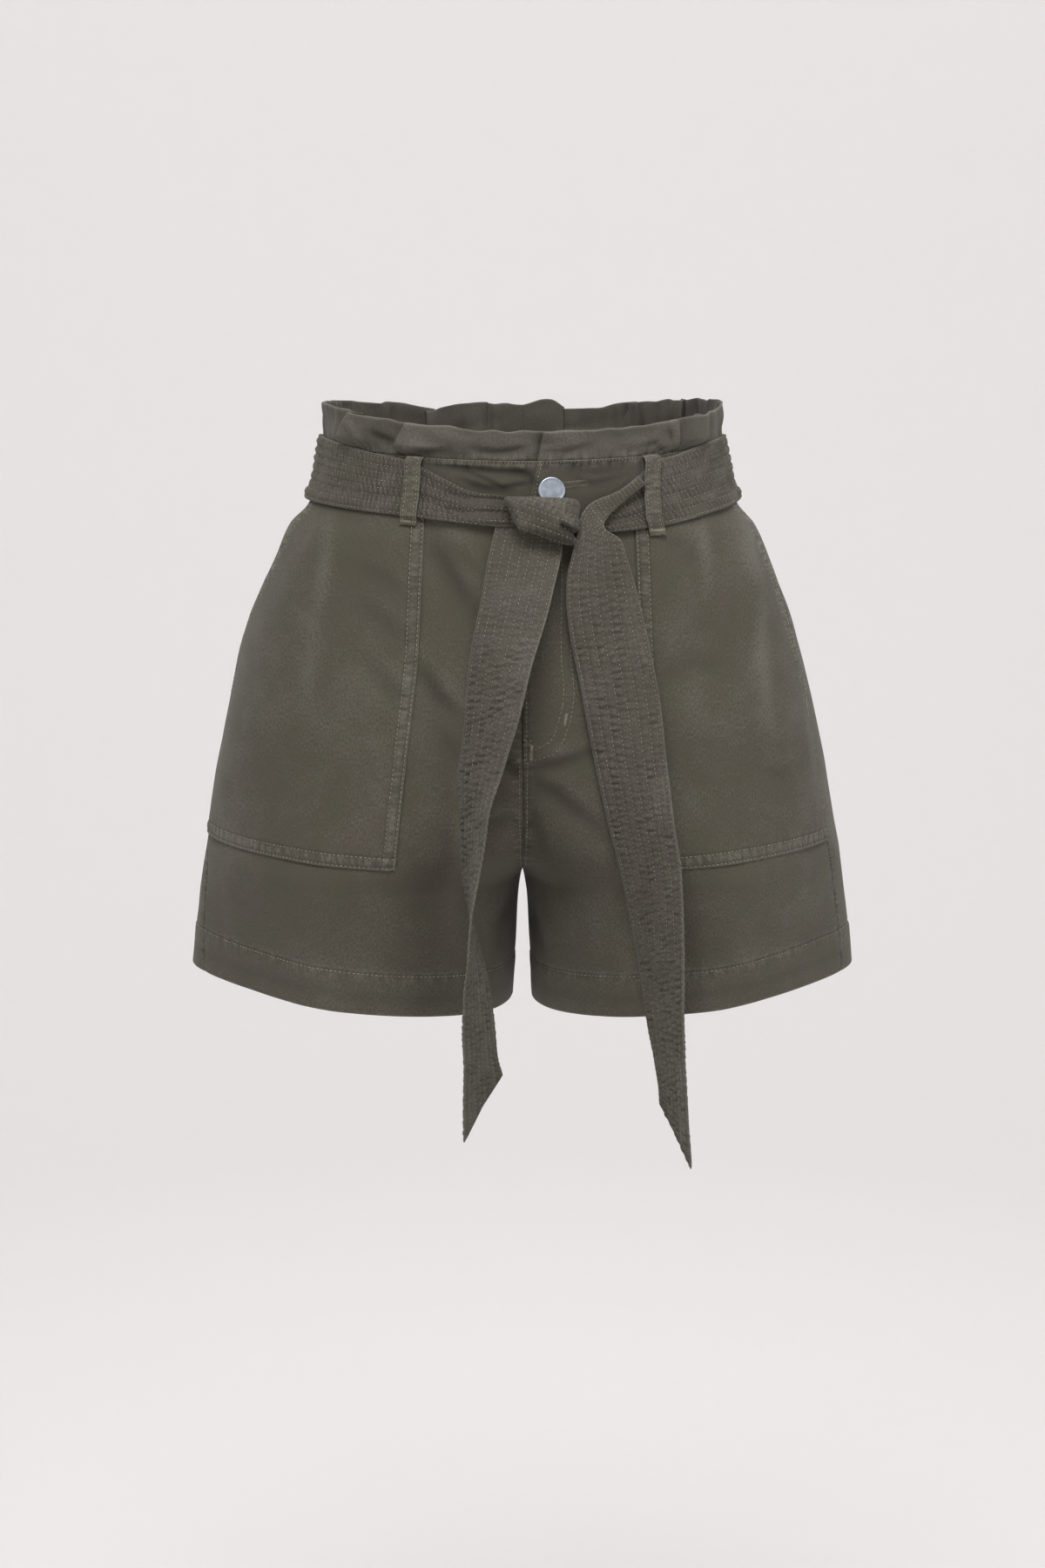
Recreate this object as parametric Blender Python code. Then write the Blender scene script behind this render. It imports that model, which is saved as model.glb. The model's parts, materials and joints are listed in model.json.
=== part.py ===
"""Paper-bag-waist cargo shorts with large patch pockets and a quilted tie belt.

The shorts stand filled out, as on a general figure, with the waist and both legs open.
Frame: +Z up, the front faces -Y, +X is the wearer's left. The origin is the middle of the
waist, at half the waistband's height. Units are metres, angles are degrees.

Every cloth piece is a closed wall. Its outer points lie on one shell, which is worked out
from a short table of sections, and its inner points are those points moved in by the cloth.
"""

import math
from typing import NamedTuple

import bmesh
import bpy
from mathutils import Vector

MM = 0.001

# ---------------------------------------------------------------- driving sizes
CLOTH = 1.2 * MM
BAND_CLOTH = 2.4 * MM
FRILL_CLOTH = 1.8 * MM
HEM_CLOTH = 2.2 * MM
BELT_CLOTH = 2.8 * MM
LOOP_CLOTH = 1.6 * MM
SEAM_GAP = 0.3 * MM
FULLNESS = 0.05                 # how much squarer than an ellipse each section is
SIDE_PINCH = -0.25              # the same at the legs' outer halves, which draw to a soft point
PINCH_STARTS = -120.0 * MM

BAND_TOP = 20.5 * MM
WAIST_SEAM = -14.5 * MM
HEM = -320.6 * MM
HEM_DEPTH = 26.0 * MM
HEM_TILT = 0.103                # the hem rises this much for each metre out from the leg's middle
LEG_MIDDLE = 107.0 * MM
HEM_TILT_STARTS = -160.0 * MM
HEM_RAISE = 0.5 * MM            # the turned-up hem stands this much proud of the leg
HEM_STEP = 0.8 * MM             # height over which it does so

FRONT_DIP_TOP = 6.3 * MM        # how much lower the band's top is at the front than at the sides
FRONT_DIP_SEAM = 3.5 * MM
BACK_DIP_TOP = 4.0 * MM
DIP_ENDS = -100.0 * MM

FLY_STEP = 0.8 * MM             # the wearer's left front laps over the right one
FLY_WIDTH = 34.0 * MM
FLY_BOTTOM = -163.0 * MM
OVERLAP_EDGE = 2.2              # angle from centre front of the waistband's upper end, at z = 0
OVERLAP_LEAN = 85.0             # degrees that this edge leans over for each metre up
UNDERLAP_EDGE = 19.8
UNDERLAP_DIP = 12.0             # degrees before the overlap's edge where the lower end starts to dip
DIP_SETTLES = 1.5               # degrees before that edge where it lies fully beneath
DIP_COLUMNS = 14

POCKET_LIFT = 0.7 * MM
POCKET_FLARE_STARTS = 14.0      # degrees from centre front between which the belt climbs a pocket
POCKET_FLARE_ENDS = 22.0
POCKET_TOP = -15.5 * MM
POCKET_BOTTOM = -228.5 * MM
MOUTH_BOTTOM = -138.0 * MM
MOUTH_TURN = {1: 17.0, -1: 10.0}

BELT_LIFT = 0.6 * MM
CHANNELS = 7                    # quilted channels along the belt, between eight rows of stitches
CHANNEL_RISE = 0.3 * MM
BUNCH_RISE = 3.0                # how much more the channels rise where the belt is bunched up
BELT_EDGE = 0.3                 # share of the belt's thickness that its edges round away

BUTTON_RADIUS = 8.1 * MM
BUTTON_THICK = 2.6 * MM
BUTTON_TURN = 7.3               # angle from centre front
BUTTON_HEIGHT = 1.4 * MM
BUTTON_SIDES = 24


class Section(NamedTuple):
    """One level of the shell. Above the crotch `inner` is negative: the halves run together."""

    z: float
    outer: float
    inner: float
    front: float
    back: float
    seam_left: float
    seam_right: float


SECTIONS = (
    Section(z=0.0600, outer=0.1165, inner=-0.1165, front=0.0905, back=0.0905, seam_left=0, seam_right=-8),
    Section(z=0.0205, outer=0.1238, inner=-0.1238, front=0.0925, back=0.0925, seam_left=0, seam_right=-8),
    Section(z=0.0010, outer=0.1280, inner=-0.1280, front=0.0965, back=0.0965, seam_left=0, seam_right=-8),
    Section(z=-0.0185, outer=0.1330, inner=-0.1330, front=0.1000, back=0.1005, seam_left=1, seam_right=-8),
    Section(z=-0.0310, outer=0.1440, inner=-0.1430, front=0.1030, back=0.1045, seam_left=2, seam_right=-7),
    Section(z=-0.0526, outer=0.1540, inner=-0.1515, front=0.1060, back=0.1100, seam_left=5, seam_right=-6),
    Section(z=-0.0850, outer=0.1660, inner=-0.1580, front=0.1085, back=0.1165, seam_left=10, seam_right=-4),
    Section(z=-0.1180, outer=0.1760, inner=-0.1500, front=0.1105, back=0.1220, seam_left=15, seam_right=-3),
    Section(z=-0.1515, outer=0.1840, inner=-0.1280, front=0.1115, back=0.1250, seam_left=18, seam_right=-2),
    Section(z=-0.1850, outer=0.1910, inner=-0.0880, front=0.1110, back=0.1245, seam_left=20, seam_right=0),
    Section(z=-0.2180, outer=0.1965, inner=-0.0400, front=0.1090, back=0.1205, seam_left=21, seam_right=3),
    Section(z=-0.2350, outer=0.1992, inner=-0.0085, front=0.1075, back=0.1175, seam_left=21, seam_right=5),
    Section(z=-0.2440, outer=0.2005, inner=0.0003, front=0.1065, back=0.1158, seam_left=21, seam_right=12),
    Section(z=-0.2860, outer=0.2062, inner=0.0043, front=0.1005, back=0.1065, seam_left=20, seam_right=17),
    Section(z=-0.3206, outer=0.2095, inner=0.0066, front=0.0965, back=0.1010, seam_left=20, seam_right=21),
)

# Heights of the rows of points down a leg panel, closer together round the crotch and at the hem.
PANEL_ROWS = (
    WAIST_SEAM - 2 * SEAM_GAP, -0.019, -0.024, -0.030, -0.038, -0.052, -0.070, -0.091, -0.113, -0.136,
    -0.158, -0.180, -0.200, -0.216, POCKET_BOTTOM, -0.235, -0.240, -0.2441, -0.249, -0.258, -0.275,
    HEM + HEM_DEPTH + HEM_STEP, HEM + HEM_DEPTH, HEM,
)
FRONT_COLUMNS = 17
BACK_COLUMNS = 15
POCKET_COLUMNS = 13


class PocketEdge(NamedTuple):
    """How far from the middle the patch pockets' inner edges lie, at one height."""

    z: float
    left: float
    right: float


POCKET_EDGES = (
    PocketEdge(z=-0.015, left=0.0665, right=0.0580),
    PocketEdge(z=-0.060, left=0.0680, right=0.0598),
    PocketEdge(z=-0.104, left=0.0700, right=0.0620),
    PocketEdge(z=-0.151, left=0.0740, right=0.0674),
    PocketEdge(z=-0.229, left=0.0800, right=0.0766),
)


class Fold(NamedTuple):
    """A soft ridge (or, with a negative height, a trough) that runs down the cloth."""

    side: int
    turn: float
    spread: float
    height: float
    top: float
    bottom: float


FOLDS = (
    Fold(side=-1, turn=-34, spread=10.0, height=1.6 * MM, top=-0.026, bottom=-0.190),
    Fold(side=-1, turn=-56, spread=10.0, height=-1.2 * MM, top=-0.040, bottom=-0.240),
    Fold(side=-1, turn=-92, spread=10.0, height=-1.6 * MM, top=-0.236, bottom=-0.318),
    Fold(side=1, turn=-30, spread=10.0, height=1.6 * MM, top=-0.030, bottom=-0.230),
    Fold(side=1, turn=-50, spread=10.0, height=-1.2 * MM, top=-0.030, bottom=-0.200),
    Fold(side=1, turn=-100, spread=10.0, height=-1.8 * MM, top=-0.236, bottom=-0.318),
    Fold(side=1, turn=-72, spread=9.0, height=1.6 * MM, top=-0.200, bottom=-0.345),
    Fold(side=-1, turn=-70, spread=9.0, height=1.6 * MM, top=-0.200, bottom=-0.345),
    Fold(side=1, turn=38, spread=7.0, height=2.2 * MM, top=-0.030, bottom=-0.210),
    Fold(side=-1, turn=38, spread=7.0, height=2.2 * MM, top=-0.030, bottom=-0.190),
    Fold(side=1, turn=64, spread=7.0, height=-2.0 * MM, top=-0.180, bottom=-0.330),
    Fold(side=-1, turn=60, spread=8.0, height=-2.0 * MM, top=-0.190, bottom=-0.330),
)


class Pleat(NamedTuple):
    """A pleat in the frill: the cloth steps out at `turn` and falls back over `reach` degrees."""

    turn: float
    toward: int
    depth: float
    reach: float


PLEATS = (
    Pleat(turn=-58, toward=1, depth=4.5 * MM, reach=20),
    Pleat(turn=-33, toward=1, depth=5.0 * MM, reach=26),
    Pleat(turn=55.5, toward=-1, depth=5.0 * MM, reach=26),
    Pleat(turn=64, toward=-1, depth=2.5 * MM, reach=8),
    Pleat(turn=-80, toward=1, depth=1.5 * MM, reach=18),
    Pleat(turn=83, toward=-1, depth=1.5 * MM, reach=14),
    Pleat(turn=-112, toward=-1, depth=4.5 * MM, reach=22),
    Pleat(turn=-150, toward=1, depth=5.0 * MM, reach=17),
    Pleat(turn=-169, toward=1, depth=3.5 * MM, reach=9),
    Pleat(turn=172, toward=-1, depth=5.0 * MM, reach=12),
    Pleat(turn=154, toward=1, depth=4.5 * MM, reach=16),
    Pleat(turn=125, toward=-1, depth=4.5 * MM, reach=22),
)
PLEAT_STEP = 3.2                # degrees over which a pleat steps out
FRILL_COLUMN = 7.0              # degrees between two columns of the frill away from its pleats
FRILL_CLOSEST = 1.2             # the fewest degrees between two columns
FRILL_ROWS = (1.0, 0.62, 0.3, 0.0)


class FrillTop(NamedTuple):
    """How high the frill stands at an angle round the waist."""

    turn: float
    z: float


FRILL_TOPS = (
    FrillTop(turn=-180, z=0.0370), FrillTop(turn=-166, z=0.0385), FrillTop(turn=-150, z=0.0335),
    FrillTop(turn=-143, z=0.0385), FrillTop(turn=-115, z=0.0420), FrillTop(turn=-90, z=0.0440),
    FrillTop(turn=-60, z=0.0425), FrillTop(turn=-38, z=0.0365), FrillTop(turn=-15, z=0.0325),
    FrillTop(turn=0, z=0.0315), FrillTop(turn=20, z=0.0325), FrillTop(turn=40, z=0.0360),
    FrillTop(turn=58, z=0.0390), FrillTop(turn=90, z=0.0440), FrillTop(turn=120, z=0.0425),
    FrillTop(turn=148, z=0.0395), FrillTop(turn=165, z=0.0335), FrillTop(turn=172, z=0.0402),
    FrillTop(turn=180, z=0.0370),
)
FRILL_LEAN = 0.8 * MM           # how far the frill's top stands out from its foot
FRILL_HEIGHT = 17.0 * MM        # at the centre front


class BeltStation(NamedTuple):
    """The belt's upper and lower edge on the shell, and how far its back stands off the shell."""

    turn: float
    top: float
    bottom: float
    lift: float
    bunch: float


# The belt runs from behind the knot, round the wearer's right side and back to the knot.
BELT_STATIONS = (
    BeltStation(turn=2.0, top=-0.0045, bottom=-0.0210, lift=4.8 * MM, bunch=1.0),
    BeltStation(turn=-6.0, top=-0.0020, bottom=-0.0212, lift=4.8 * MM, bunch=1.0),
    BeltStation(turn=-13.0, top=0.0005, bottom=-0.0200, lift=3.4 * MM, bunch=0.9),
    BeltStation(turn=-19.0, top=0.0065, bottom=-0.0186, lift=1.8 * MM, bunch=0.6),
    BeltStation(turn=-27.0, top=0.0143, bottom=-0.0172, lift=BELT_LIFT, bunch=0.4),
    BeltStation(turn=-33.0, top=0.0185, bottom=-0.0165, lift=BELT_LIFT, bunch=0.3),
    BeltStation(turn=-42.0, top=0.0200, bottom=-0.0160, lift=BELT_LIFT, bunch=0.2),
    BeltStation(turn=-60.0, top=0.0210, bottom=-0.0155, lift=BELT_LIFT, bunch=0.1),
    BeltStation(turn=-90.0, top=0.0215, bottom=-0.0155, lift=BELT_LIFT, bunch=0.1),
    BeltStation(turn=-124.0, top=0.0172, bottom=-0.0170, lift=BELT_LIFT, bunch=0.0),
    BeltStation(turn=-180.0, top=0.0165, bottom=-0.0185, lift=BELT_LIFT, bunch=0.0),
    BeltStation(turn=-236.0, top=0.0172, bottom=-0.0170, lift=BELT_LIFT, bunch=0.0),
    BeltStation(turn=-270.0, top=0.0215, bottom=-0.0155, lift=BELT_LIFT, bunch=0.1),
    BeltStation(turn=-300.0, top=0.0210, bottom=-0.0188, lift=BELT_LIFT, bunch=0.1),
    BeltStation(turn=-316.0, top=0.0185, bottom=-0.0222, lift=BELT_LIFT, bunch=0.1),
    BeltStation(turn=-323.0, top=0.0160, bottom=-0.0236, lift=BELT_LIFT, bunch=0.2),
    BeltStation(turn=-329.0, top=0.0070, bottom=-0.0244, lift=BELT_LIFT, bunch=0.3),
    BeltStation(turn=-334.0, top=0.0005, bottom=-0.0252, lift=0.8 * MM, bunch=0.5),
    BeltStation(turn=-342.0, top=-0.0090, bottom=-0.0258, lift=1.2 * MM, bunch=0.8),
)
BELT_STEP = 5.0                 # degrees between two sections of the belt


class TailStation(NamedTuple):
    """One station along a belt end.

    x, y and z are the strip's middle. `turn` swings its right edge towards the front, `tilt`
    drops that edge, `thick` is its thickness and `skew` cuts it off aslant.
    """

    x: float
    y: float
    z: float
    width: float
    turn: float = 0.0
    tilt: float = 0.0
    thick: float = BELT_CLOTH
    skew: float = 0.0


RIGHT_TAIL = (
    TailStation(x=0.0041, y=-0.1062, z=-0.0253, width=0.0410),
    TailStation(x=0.0028, y=-0.1063, z=-0.0330, width=0.0420),
    TailStation(x=0.0010, y=-0.1105, z=-0.0420, width=0.0430, turn=6),
    TailStation(x=-0.0020, y=-0.1150, z=-0.0550, width=0.0440, turn=18),
    TailStation(x=-0.0056, y=-0.1205, z=-0.0711, width=0.0450, turn=26),
    TailStation(x=-0.0133, y=-0.1255, z=-0.1019, width=0.0450, turn=34),
    TailStation(x=-0.0196, y=-0.1300, z=-0.1383, width=0.0450, turn=46),
    TailStation(x=-0.0269, y=-0.1335, z=-0.1748, width=0.0450, turn=61),
    TailStation(x=-0.0290, y=-0.1330, z=-0.2011, width=0.0450, turn=69),
    TailStation(x=-0.0301, y=-0.1315, z=-0.2222, width=0.0450, turn=76),
    TailStation(x=-0.0307, y=-0.1290, z=-0.2488, width=0.0450, turn=87),
    TailStation(x=-0.0282, y=-0.1260, z=-0.2808, width=0.0450, turn=101),
    TailStation(x=-0.0262, y=-0.1235, z=-0.3172, width=0.0450, turn=111),
    TailStation(x=-0.0247, y=-0.1220, z=-0.3480, width=0.0450, turn=116),
    TailStation(x=-0.0240, y=-0.1210, z=-0.3780, width=0.0450, turn=119, skew=0.0155),
)

LEFT_TAIL = (
    TailStation(x=0.0712, y=-0.0898, z=0.0030, width=0.0064, tilt=50, thick=3.6 * MM),
    TailStation(x=0.0592, y=-0.0965, z=-0.0056, width=0.0070, tilt=50, thick=3.8 * MM),
    TailStation(x=0.0480, y=-0.1025, z=-0.0142, width=0.0098, tilt=46, thick=4.0 * MM),
    TailStation(x=0.0428, y=-0.1060, z=-0.0222, width=0.0125, tilt=22, thick=4.2 * MM),
    TailStation(x=0.0442, y=-0.1090, z=-0.0300, width=0.0178, tilt=6, thick=4.2 * MM),
    TailStation(x=0.0449, y=-0.1110, z=-0.0413, width=0.0300, thick=3.6 * MM),
    TailStation(x=0.0457, y=-0.1120, z=-0.0530, width=0.0390, thick=3.0 * MM),
    TailStation(x=0.0480, y=-0.1128, z=-0.0700, width=0.0440),
    TailStation(x=0.0518, y=-0.1140, z=-0.0916, width=0.0460, turn=2),
    TailStation(x=0.0580, y=-0.1165, z=-0.1224, width=0.0460, turn=6),
    TailStation(x=0.0633, y=-0.1215, z=-0.1586, width=0.0450, turn=18),
    TailStation(x=0.0697, y=-0.1250, z=-0.1951, width=0.0450, turn=29),
    TailStation(x=0.0761, y=-0.1265, z=-0.2265, width=0.0450, turn=38),
    TailStation(x=0.0822, y=-0.1245, z=-0.2796, width=0.0450, turn=54),
    TailStation(x=0.0856, y=-0.1225, z=-0.3144, width=0.0450, turn=62),
    TailStation(x=0.0895, y=-0.1215, z=-0.3500, width=0.0450, turn=67),
    TailStation(x=0.0945, y=-0.1210, z=-0.3960, width=0.0450, turn=69, skew=0.0140),
)
TAIL_SPAN = 13.0 * MM           # distance between two sections of a belt end


class KnotStation(NamedTuple):
    """One section across the knot, leaning from its upper to its lower end."""

    x_top: float
    x_bottom: float
    z_top: float
    z_bottom: float
    depth: float


KNOT_STATIONS = (
    KnotStation(x_top=-0.0112, x_bottom=-0.0040, z_top=-0.0068, z_bottom=-0.0222, depth=0.0040),
    KnotStation(x_top=-0.0098, x_bottom=-0.0018, z_top=-0.0056, z_bottom=-0.0240, depth=0.0095),
    KnotStation(x_top=-0.0030, x_bottom=0.0042, z_top=-0.0052, z_bottom=-0.0260, depth=0.0130),
    KnotStation(x_top=0.0070, x_bottom=0.0120, z_top=-0.0052, z_bottom=-0.0288, depth=0.0142),
    KnotStation(x_top=0.0170, x_bottom=0.0205, z_top=-0.0056, z_bottom=-0.0326, depth=0.0142),
    KnotStation(x_top=0.0255, x_bottom=0.0280, z_top=-0.0060, z_bottom=-0.0338, depth=0.0130),
    KnotStation(x_top=0.0315, x_bottom=0.0320, z_top=-0.0070, z_bottom=-0.0322, depth=0.0100),
    KnotStation(x_top=0.0340, x_bottom=0.0336, z_top=-0.0105, z_bottom=-0.0290, depth=0.0050),
)
KNOT_BACK = -0.1076
KNOT_SIDES = 18
KNOT_SQUARENESS = 0.75          # 1 for an ellipse, less for a squarer section


class Loop(NamedTuple):
    """A belt loop: its angle from centre front and nominal height at each end."""

    top_turn: float
    top: float
    bottom_turn: float
    bottom: float


FRONT_LOOPS = (
    Loop(top_turn=-29.5, top=0.0204, bottom_turn=-28.6, bottom=-0.0222),
    Loop(top_turn=36.2, top=0.0204, bottom_turn=32.6, bottom=-0.0290),
)
BACK_LOOPS = (
    Loop(top_turn=-124.0, top=0.0204, bottom_turn=-124.0, bottom=-0.0240),
    Loop(top_turn=124.0, top=0.0204, bottom_turn=124.0, bottom=-0.0240),
    Loop(top_turn=180.0, top=0.0204, bottom_turn=180.0, bottom=-0.0240),
)
LOOP_WIDTH = 10.5 * MM
LOOP_OVER_BELT = BELT_LIFT + BELT_CLOTH + 0.7 * MM + LOOP_CLOTH / 2
LOOP_BOW = 0.3 * MM

# ---------------------------------------------------------------- small tools


def read_table(rows, place, value, at):
    """The smooth curve through one column of a table, read at a place along another column."""
    spots = [getattr(row, place) for row in rows]
    heights = [getattr(row, value) for row in rows]
    if spots[0] > spots[-1]:
        spots, heights = spots[::-1], heights[::-1]
    at = min(max(at, spots[0]), spots[-1])
    last = len(spots) - 2
    cell = next((i for i in range(last + 1) if at <= spots[i + 1]), last)

    def slope(i):
        before, after = max(i - 1, 0), min(i + 1, len(spots) - 1)
        return (heights[after] - heights[before]) / (spots[after] - spots[before])

    span = spots[cell + 1] - spots[cell]
    t = (at - spots[cell]) / span
    start, end = heights[cell], heights[cell + 1]
    return (
        start * (2 * t**3 - 3 * t**2 + 1)
        + end * (3 * t**2 - 2 * t**3)
        + slope(cell) * span * (t**3 - 2 * t**2 + t)
        + slope(cell + 1) * span * (t**3 - t**2)
    )


def ease(low, high, at):
    """0 below low, 1 above high, and a smooth rise between them."""
    t = min(max((at - low) / (high - low), 0.0), 1.0)
    return t * t * (3 - 2 * t)


def mix(a, b, t):
    return a + (b - a) * t


def steps(first, last, count):
    return [mix(first, last, i / (count - 1)) for i in range(count)]


def make_material(name, colour, roughness, metallic=0.0):
    material = bpy.data.materials.new(name)
    material.use_nodes = True
    shader = material.node_tree.nodes["Principled BSDF"]
    shader.inputs["Base Color"].default_value = (*colour, 1.0)
    shader.inputs["Roughness"].default_value = roughness
    shader.inputs["Metallic"].default_value = metallic
    return material


def add_solid(name, points, faces, material):
    """One closed solid as an object. The faces are turned outwards by the sign of its volume."""
    volume = 0.0
    for face in faces:
        for second, third in zip(face[1:], face[2:]):
            volume += points[face[0]].dot(points[second].cross(points[third]))
    if volume < 0:
        faces = [face[::-1] for face in faces]
    mesh = bpy.data.meshes.new(name)
    mesh.from_pydata(points, [], faces)
    mesh.validate()
    mesh.materials.append(material)
    mesh.shade_smooth()
    mesh.set_sharp_from_angle(angle=math.radians(50))
    solid = bpy.data.objects.new(name, mesh)
    bpy.context.scene.collection.objects.link(solid)
    return solid


def add_wall(name, outer, inner, material):
    """A closed wall between an outer and an inner grid of points, given row by row."""
    rows, columns = len(outer), len(outer[0])
    points = [p for row in outer for p in row] + [p for row in inner for p in row]
    back = rows * columns

    def at(i, j):
        return i * columns + j

    faces = []
    for i in range(rows - 1):
        for j in range(columns - 1):
            quad = (at(i, j), at(i, j + 1), at(i + 1, j + 1), at(i + 1, j))
            faces += [quad, tuple(back + k for k in reversed(quad))]
    rim = [at(0, j) for j in range(columns)] + [at(i, columns - 1) for i in range(1, rows)]
    rim += [at(rows - 1, j) for j in reversed(range(columns - 1))]
    rim += [at(i, 0) for i in reversed(range(1, rows - 1))]
    for here, there in zip(rim, rim[1:] + rim[:1]):
        faces.append((there, here, back + here, back + there))
    return add_solid(name, points, faces, material)


def add_loft(name, sections, material):
    """A closed solid through rings of points, with both ends filled."""
    count = len(sections[0])
    points = [p for ring in sections for p in ring]
    faces = []
    for i in range(len(sections) - 1):
        for j in range(count):
            after = (j + 1) % count
            faces.append(
                (i * count + j, i * count + after, (i + 1) * count + after, (i + 1) * count + j)
            )
    last = (len(sections) - 1) * count
    faces.append(tuple(reversed(range(count))))
    faces.append(tuple(last + j for j in range(count)))
    return add_solid(name, points, faces, material)


# ---------------------------------------------------------------- the shell


def waist_dip(turn, z):
    """How much lower a point lies than its nominal height, at the front and at the back."""
    share = math.sin(math.radians(turn)) ** 2
    if turn < 0:
        above = mix(FRONT_DIP_SEAM, FRONT_DIP_TOP, ease(WAIST_SEAM, BAND_TOP, z))
    else:
        above = BACK_DIP_TOP * ease(WAIST_SEAM, BAND_TOP, z)
    return share * above * ease(DIP_ENDS, WAIST_SEAM, z)


def fold_height(side, turn, z):
    total = 0.0
    for fold in FOLDS:
        if fold.side != side or not fold.bottom < z < fold.top:
            continue
        along = math.sin(math.pi * ((fold.top - z) / (fold.top - fold.bottom)) ** 0.7)
        across = math.exp(-(((turn - fold.turn) / fold.spread) ** 2))
        total += fold.height * along * across
    return total


def fly_rise(side, turn, x, z):
    """The wearer's left front stands a little proud beside the fly."""
    if side < 0 or turn > 0:
        return 0.0
    beside = 1 - ease(FLY_WIDTH * 0.6, FLY_WIDTH, x)
    above = ease(FLY_BOTTOM - 8 * MM, FLY_BOTTOM + 8 * MM, z)
    return FLY_STEP * beside * above * ease(WAIST_SEAM, WAIST_SEAM - 12 * MM, z)


def hem_rise(z):
    return HEM_RAISE * ease(HEM + HEM_DEPTH + HEM_STEP, HEM + HEM_DEPTH, z)


def shell_base(side, turn, z):
    """A point on the shell. `turn` is 0 at the outer side, -90 at the front and 90 at the back."""
    outer = read_table(SECTIONS, "z", "outer", z)
    inner = read_table(SECTIONS, "z", "inner", z)
    depth = read_table(SECTIONS, "z", "front" if turn < 0 else "back", z)
    middle, half = (outer + inner) / 2, (outer - inner) / 2
    angle = math.radians(turn)
    c, s = math.cos(angle), math.sin(angle)
    full = FULLNESS if c < 0 else mix(FULLNESS, SIDE_PINCH, ease(PINCH_STARTS, HEM, z))
    x = middle + half * c * (1 + full * s * s)
    y = depth * s * (1 + full * c * c)
    out = Vector((c / half, s / depth)).normalized()
    rise = fold_height(side, turn, z) + fly_rise(side, turn, x, z) + hem_rise(z)
    x += out.x * rise
    y += out.y * rise
    height = z - waist_dip(turn, z)
    height += HEM_TILT * (x - LEG_MIDDLE) * ease(HEM_TILT_STARTS, HEM, z)
    return Vector((side * x, y, height))


def shell_normal(side, turn, z):
    """The direction straight out of the shell."""
    small_turn, small_z = 0.4, 0.4 * MM
    along = shell_base(side, turn + small_turn, z) - shell_base(side, turn - small_turn, z)
    down = shell_base(side, turn, z - small_z) - shell_base(side, turn, z + small_z)
    normal = along.cross(down).normalized()
    angle = math.radians(turn)
    outwards = Vector((side * math.cos(angle), math.sin(angle), 0.0))
    return normal if normal.dot(outwards) > 0 else -normal


def shell_point(side, turn, z, lift=0.0):
    point = shell_base(side, turn, z)
    return point + shell_normal(side, turn, z) * lift if lift else point


def ring_point(around, z, lift=0.0):
    """A point on the shell by its angle from the centre front, positive towards +X."""
    around = (around + 180.0) % 360.0 - 180.0
    side = 1 if around >= 0 else -1
    return shell_point(side, abs(around) - 90.0, z, lift)


def turn_where(side, z, x, back):
    """The angle at which the shell reaches the distance x from the middle, by halving."""
    low, high = 0.0, 180.0
    sign = 1 if back else -1
    for _ in range(40):
        trial = (low + high) / 2
        if side * shell_base(side, sign * trial, z).x > x:
            low = trial
        else:
            high = trial
    return sign * low


def seam_turn(side, z):
    return -read_table(SECTIONS, "z", "seam_left" if side > 0 else "seam_right", z)


def inner_turn(side, z, back):
    """Where a panel ends: at the centre seam above the crotch, at the inside-leg seam below it."""
    depth = read_table(SECTIONS, "z", "back" if back else "front", z)
    limit = 180.0 - math.degrees(SEAM_GAP / 2 / depth)
    turn = turn_where(side, z, SEAM_GAP / 2, back)
    return max(-limit, min(limit, turn))


def gap_angle(z):
    """Half the gap at a side seam, as an angle. The walls lean together there, so it is wider."""
    return math.degrees(0.75 * SEAM_GAP / read_table(SECTIONS, "z", "front", z))


# ---------------------------------------------------------------- cloth pieces


def leg_thickness(z):
    return mix(CLOTH, HEM_CLOTH, ease(HEM + HEM_DEPTH + HEM_STEP, HEM + HEM_DEPTH, z))


def make_panel(name, side, back, material):
    """A front or a back: from the waist seam to the hem, centre seam to side seam."""
    outer, inner = [], []
    for z in PANEL_ROWS:
        near = inner_turn(side, z, back)
        far = seam_turn(side, z) + (gap_angle(z) if back else -gap_angle(z))
        thick = leg_thickness(z)
        turns = steps(near, far, BACK_COLUMNS if back else FRONT_COLUMNS)
        outer.append([shell_point(side, turn, z) for turn in turns])
        inner.append([shell_point(side, turn, z, -thick) for turn in turns])
    return add_wall(name, outer, inner, material)


def mouth_turn(side, z):
    """The pocket's outer edge: the slanted mouth, then the side seam below it."""
    seam = seam_turn(side, z) - 0.6
    share = ease(MOUTH_BOTTOM, POCKET_TOP, z)
    return seam - MOUTH_TURN[side] * share if share > 0 else seam


def make_pocket(name, side, material):
    """A large patch over the front, from the waist seam to above the hem."""
    outer, inner = [], []
    for z in [POCKET_TOP] + [z for z in PANEL_ROWS if POCKET_BOTTOM <= z < POCKET_TOP - 2 * MM]:
        edge = read_table(POCKET_EDGES, "z", "left" if side > 0 else "right", z)
        near = turn_where(side, z, edge, back=False)
        turns = steps(near, mouth_turn(side, z), POCKET_COLUMNS)
        inner.append([shell_point(side, turn, z, POCKET_LIFT) for turn in turns])
        outer.append([shell_point(side, turn, z, POCKET_LIFT + CLOTH) for turn in turns])
    return add_wall(name, outer, inner, material)


def overlap_edge(z):
    """The angle at which the wearer's left end of the waist stops, on top of the right end."""
    return OVERLAP_EDGE + OVERLAP_LEAN * z


def band_ends(label, z):
    """The angles at which one half of the waist starts and stops."""
    seam = math.degrees(SEAM_GAP / 2 / SECTIONS[1].back)
    if label == "left":
        return overlap_edge(z), 180.0 - seam
    return -180.0 + seam, UNDERLAP_EDGE


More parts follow.
